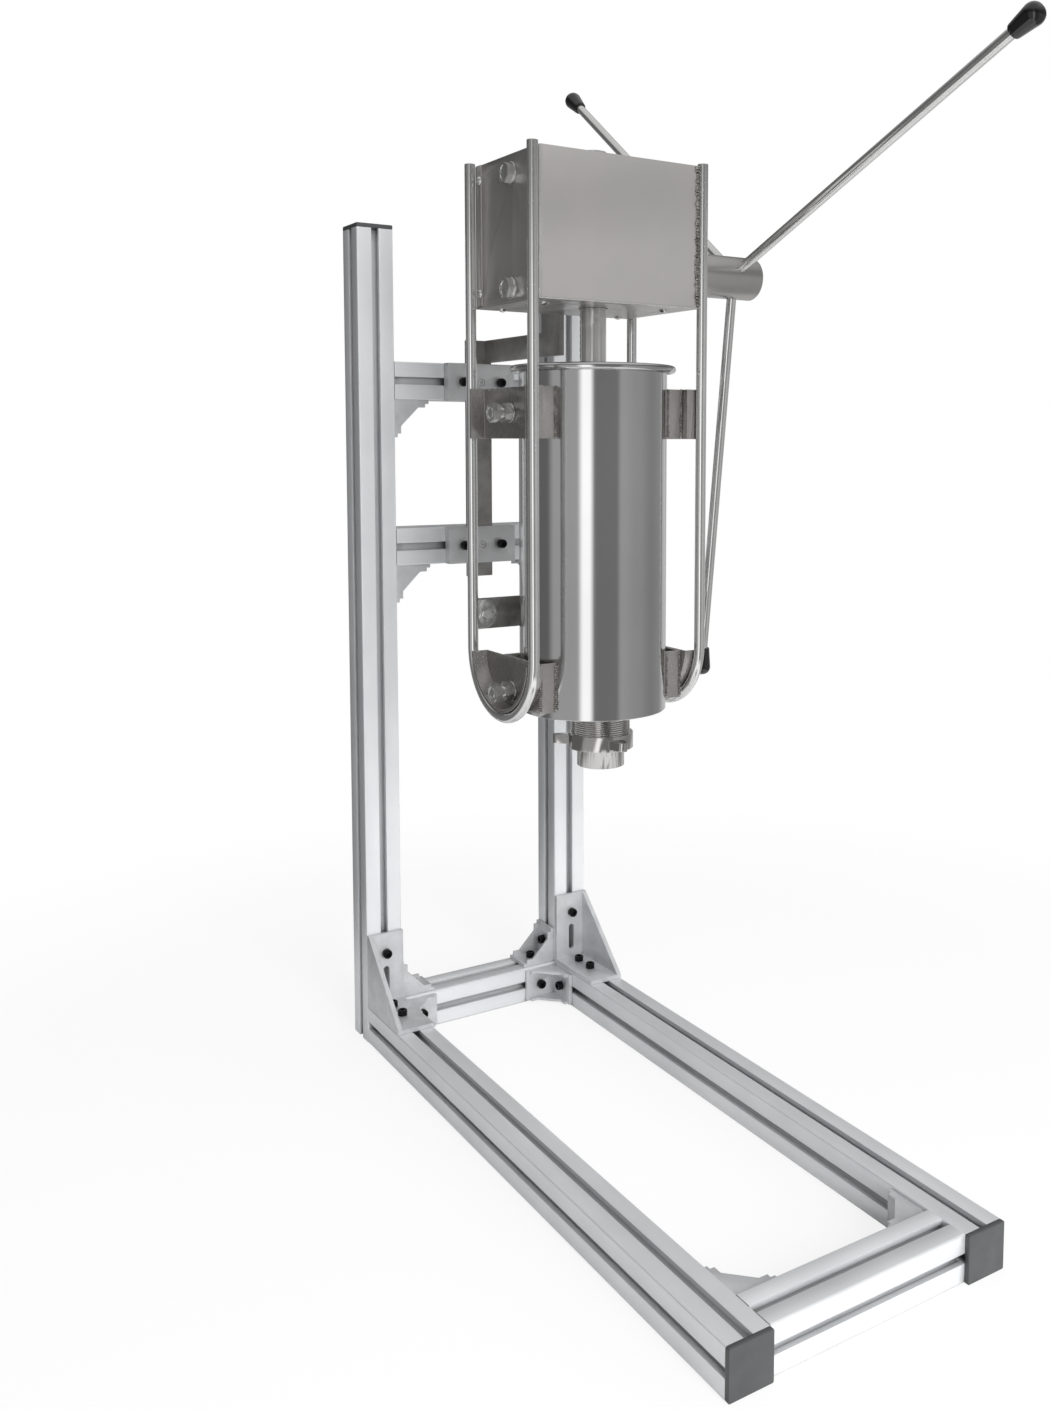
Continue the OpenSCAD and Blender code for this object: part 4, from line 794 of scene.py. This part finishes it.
softened("rack", 0.2, "ram", RACK_STEEL, "gear_steel")
softened("piston", 0.8, "ram", WHITE_PLASTIC, "white_plastic", 2, 40)

# Outlet ---------------------------------------------------------------------------------------

OUTLET_Y = -264.5
NECK_LOW, NECK_TOP, NECK_BORE, NECK_R, NECK_PITCH = 368, 398, 24, 28, 2
at_outlet = Matrix.Translation((0, OUTLET_Y, 0))
neck = [(NECK_BORE, NECK_LOW + 0.2), (NECK_BORE + 0.3, NECK_LOW), (NECK_R - 0.8, NECK_LOW)]
height = NECK_LOW + 0.6
while height < NECK_TOP - 3:
    neck += [(NECK_R, height), (NECK_R - 0.9, height + NECK_PITCH / 2)]
    height += NECK_PITCH
neck += [(NECK_R, NECK_TOP - 2), (NECK_R, NECK_TOP), (NECK_BORE, NECK_TOP)]
piece("threaded_neck", lathe(neck, 96, at_outlet, closed=True, sharp=50), "stand", OUTLET,
      "outlet_steel", "outlet_neck")
softened("nozzle_tube", 0.4, "nozzle", OUTLET, "outlet_steel")
softened("ring_nut", 0.8, "nut", OUTLET, "outlet_steel", 3)

# CAD nodes that stay as they are -------------------------------------------------------------

for finish, nodes in ((ZINC, ("slot_nuts", "pinion_key")), (BRIGHT, ("shaft_ring",)),
                      (GEAR, ("piston_nut",)), (SEAL, ("piston_seal",))):
    for node in nodes:
        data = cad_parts[node].data
        data.materials.clear()
        data.materials.append(finish)

# Floor, room, lamps and camera ------------------------------------------------------------------

VIEW_TURN, VIEW_DOWN, VIEW_ROLL = 32.95, 4.97, 0.15  # degrees from +Y, below level, and aslant
EYE = (-0.6536, -1.3095, 0.6518)  # the camera's place in metres
LENS, SENSOR, SHIFT = 33.437, 36, (-0.0688, -0.1053)
FLOOR_R, FLOOR_Z, FLOOR_MIDDLE = 1300, -0.4, (0, -300, 0)
# Walls that polished metal sees: degrees from behind the camera towards its right, and level
ROOM_WALLS = (
    (-165, 0.3), (-130, 0.15), (-74, 0.15), (-60, 0.42), (-23, 0.42), (-13, 1.4), (-4, 1.4),
    (5, 0.2), (38, 0.2), (46, 0.4), (75, 0.34), (105, 0.26), (125, 0.3), (150, 0.6), (172, 0.6))
# Walls that light the dull surfaces, bright to the right of the camera
SOFT_WALLS = (
    (-170, 0.3), (-120, 0.12), (-60, 0.08), (-15, 0.35), (25, 1.4), (70, 1.8), (115, 1.5),
    (150, 0.6))
CEILING, DUSK = (0.6, 0.6, 0.6, 1), (0.08, 0.08, 0.08, 1)


def blend(tree, factor, first, second):
    """The second colour over the first, by a factor."""
    return add(tree, "ShaderNodeMix", {
        "Factor_Float": factor, "A_Color": first, "B_Color": second}, data_type="RGBA").outputs[2]


def build_floor():
    """White table top with a faint shadow. For the camera it fades to plain white at its
    border; in the polished metal it reaches just past the rails, and then the room starts."""
    mesh = lathe([(0, FLOOR_Z), (FLOOR_R, FLOOR_Z)], 96, Matrix.Translation(FLOOR_MIDDLE))
    floor = bpy.data.objects.new("floor", mesh)
    scene.collection.objects.link(floor)
    material = bpy.data.materials.new("white_table_top")
    material.use_nodes = True
    tree = material.node_tree
    tree.nodes.clear()
    place = add(tree, "ShaderNodeTexCoord").outputs["Object"]
    middle = [v * MM for v in FLOOR_MIDDLE]
    away = add(tree, "ShaderNodeVectorMath", {0: place, 1: middle}, operation="DISTANCE")
    fade = add(tree, "ShaderNodeMapRange", {
        "Value": away.outputs["Value"], "From Min": 0.45 * FLOOR_R * MM,
        "From Max": 0.92 * FLOOR_R * MM, "To Min": 0.82, "To Max": 1.0},
        interpolation_type="SMOOTHSTEP")
    path = add(tree, "ShaderNodeLightPath")
    near = blend(tree, path.outputs["Is Glossy Ray"], srgb("#cacaca"), srgb("#f0f0f0"))
    tone = blend(tree, path.outputs["Is Camera Ray"], near, srgb("#fafafa"))
    paint = add(tree, "ShaderNodeBsdfDiffuse", {"Color": tone})
    glow = add(tree, "ShaderNodeEmission", {"Color": (1, 1, 1, 1), "Strength": 1.0})
    share = add(tree, "ShaderNodeMath", {
        0: path.outputs["Is Camera Ray"], 1: fade.outputs["Result"]}, operation="MULTIPLY")
    top = add(tree, "ShaderNodeMixShader", {
        "Fac": share.outputs["Value"], 1: paint.outputs["BSDF"], 2: glow.outputs["Emission"]})
    past_edge = add(tree, "ShaderNodeMapRange", {
        "Value": away.outputs["Value"], "From Min": 0.4 * FLOOR_R * MM,
        "From Max": 0.6 * FLOOR_R * MM})
    open_share = add(tree, "ShaderNodeMath", {
        0: path.outputs["Is Glossy Ray"], 1: past_edge.outputs["Result"]}, operation="MULTIPLY")
    open_air = add(tree, "ShaderNodeBsdfTransparent", {"Color": (1, 1, 1, 1)})
    mixed = add(tree, "ShaderNodeMixShader", {
        "Fac": open_share.outputs["Value"], 1: top.outputs["Shader"],
        2: open_air.outputs["BSDF"]})
    add(tree, "ShaderNodeOutputMaterial", {"Surface": mixed.outputs["Shader"]})
    mesh.materials.append(material)


def heading_share(degrees):
    """A wall's place, in degrees from behind the camera, as a ramp position."""
    heading = math.radians(VIEW_TURN + 180 - degrees)
    return (math.atan2(math.sin(heading), math.cos(heading)) + math.pi) / (2 * math.pi)


def wall_ramp(tree, share, stops):
    """Brightness of the room's walls round the machine."""
    walls = add(tree, "ShaderNodeValToRGB", {"Fac": share})
    ramp = walls.color_ramp
    ramp.interpolation = "EASE"
    marks = sorted((heading_share(degrees), level) for degrees, level in stops)
    for element, (position, level) in zip(list(ramp.elements), marks):
        element.position = position
        element.color = (level, level, level, 1)
    for position, level in marks[2:]:
        ramp.elements.new(position).color = (level, level, level, 1)
    return walls.outputs["Color"]


def build_room():
    """White to the camera. Polished metal sees a studio with bright and dark walls, which grow
    dark above eye level, under a grey ceiling. Dull surfaces are lit from the front right."""
    world = bpy.data.worlds.new("studio_room")
    scene.world = world
    world.use_nodes = True
    tree = world.node_tree
    tree.nodes.clear()
    place = add(tree, "ShaderNodeTexCoord").outputs["Generated"]
    parts = add(tree, "ShaderNodeSeparateXYZ", {"Vector": place})
    heading = add(tree, "ShaderNodeMath", {
        0: parts.outputs["X"], 1: parts.outputs["Y"]}, operation="ARCTAN2")
    share = add(tree, "ShaderNodeMapRange", {
        "Value": heading.outputs["Value"], "From Min": -math.pi, "From Max": math.pi})
    shine = wall_ramp(tree, share.outputs["Result"], ROOM_WALLS)
    light = wall_ramp(tree, share.outputs["Result"], SOFT_WALLS)
    dusk = add(tree, "ShaderNodeMapRange", {
        "Value": parts.outputs["Z"], "From Min": 0.06, "From Max": 0.24,
        "To Min": 0.0, "To Max": 0.8}, interpolation_type="SMOOTHSTEP")
    dimmed = blend(tree, dusk.outputs["Result"], shine, DUSK)
    overhead = add(tree, "ShaderNodeMapRange", {
        "Value": parts.outputs["Z"], "From Min": 0.4, "From Max": 0.8},
        interpolation_type="SMOOTHSTEP")
    mirrored = blend(tree, overhead.outputs["Result"], dimmed, CEILING)
    soft = blend(tree, overhead.outputs["Result"], light, CEILING)
    path = add(tree, "ShaderNodeLightPath")
    plain = blend(tree, path.outputs["Is Glossy Ray"], soft, mirrored)
    seen = blend(tree, path.outputs["Is Camera Ray"], plain, (1, 1, 1, 1))
    glow = add(tree, "ShaderNodeBackground", {"Color": seen, "Strength": 1.0})
    add(tree, "ShaderNodeOutputWorld", {"Surface": glow.outputs["Background"]})


def area_lamp(name, place, target, width, height, power):
    """A soft lamp that polished metal doesn't mirror, with its lengths in metres."""
    lamp = bpy.data.lights.new(name, "AREA")
    lamp.shape = "RECTANGLE"
    lamp.size, lamp.size_y, lamp.energy = width, height, power
    holder = bpy.data.objects.new(name, lamp)
    scene.collection.objects.link(holder)
    holder.visible_glossy = False
    aim = Vector(target) - Vector(place)
    holder.matrix_world = Matrix.Translation(place) @ aim.to_track_quat(
        "-Z", "Y").to_matrix().to_4x4()


def build_camera():
    """The photograph's view: turned 33 degrees to the front left, 5 degrees down."""
    turn, pitch, roll = (math.radians(a) for a in (VIEW_TURN, VIEW_DOWN, VIEW_ROLL))
    ahead = Vector((math.sin(turn) * math.cos(pitch), math.cos(turn) * math.cos(pitch),
                    -math.sin(pitch)))
    flat = Vector((math.cos(turn), -math.sin(turn), 0))
    rise = flat.cross(ahead)
    right = flat * math.cos(roll) + rise * math.sin(roll)
    above = -flat * math.sin(roll) + rise * math.cos(roll)
    data = bpy.data.cameras.new("view")
    data.lens, data.sensor_width = LENS, SENSOR
    data.shift_x, data.shift_y = SHIFT
    camera = bpy.data.objects.new("view", data)
    scene.collection.objects.link(camera)
    camera.matrix_world = Matrix.Translation(EYE) @ Matrix(
        (right, above, -ahead)).transposed().to_4x4()
    scene.camera = camera


build_floor()
build_room()
area_lamp("window_in_front", (-0.25, -2.6, 1.1), (-0.1, -0.1, 0.55), 1.0, 1.4, 55)
build_camera()
scene.view_settings.view_transform = "Standard"
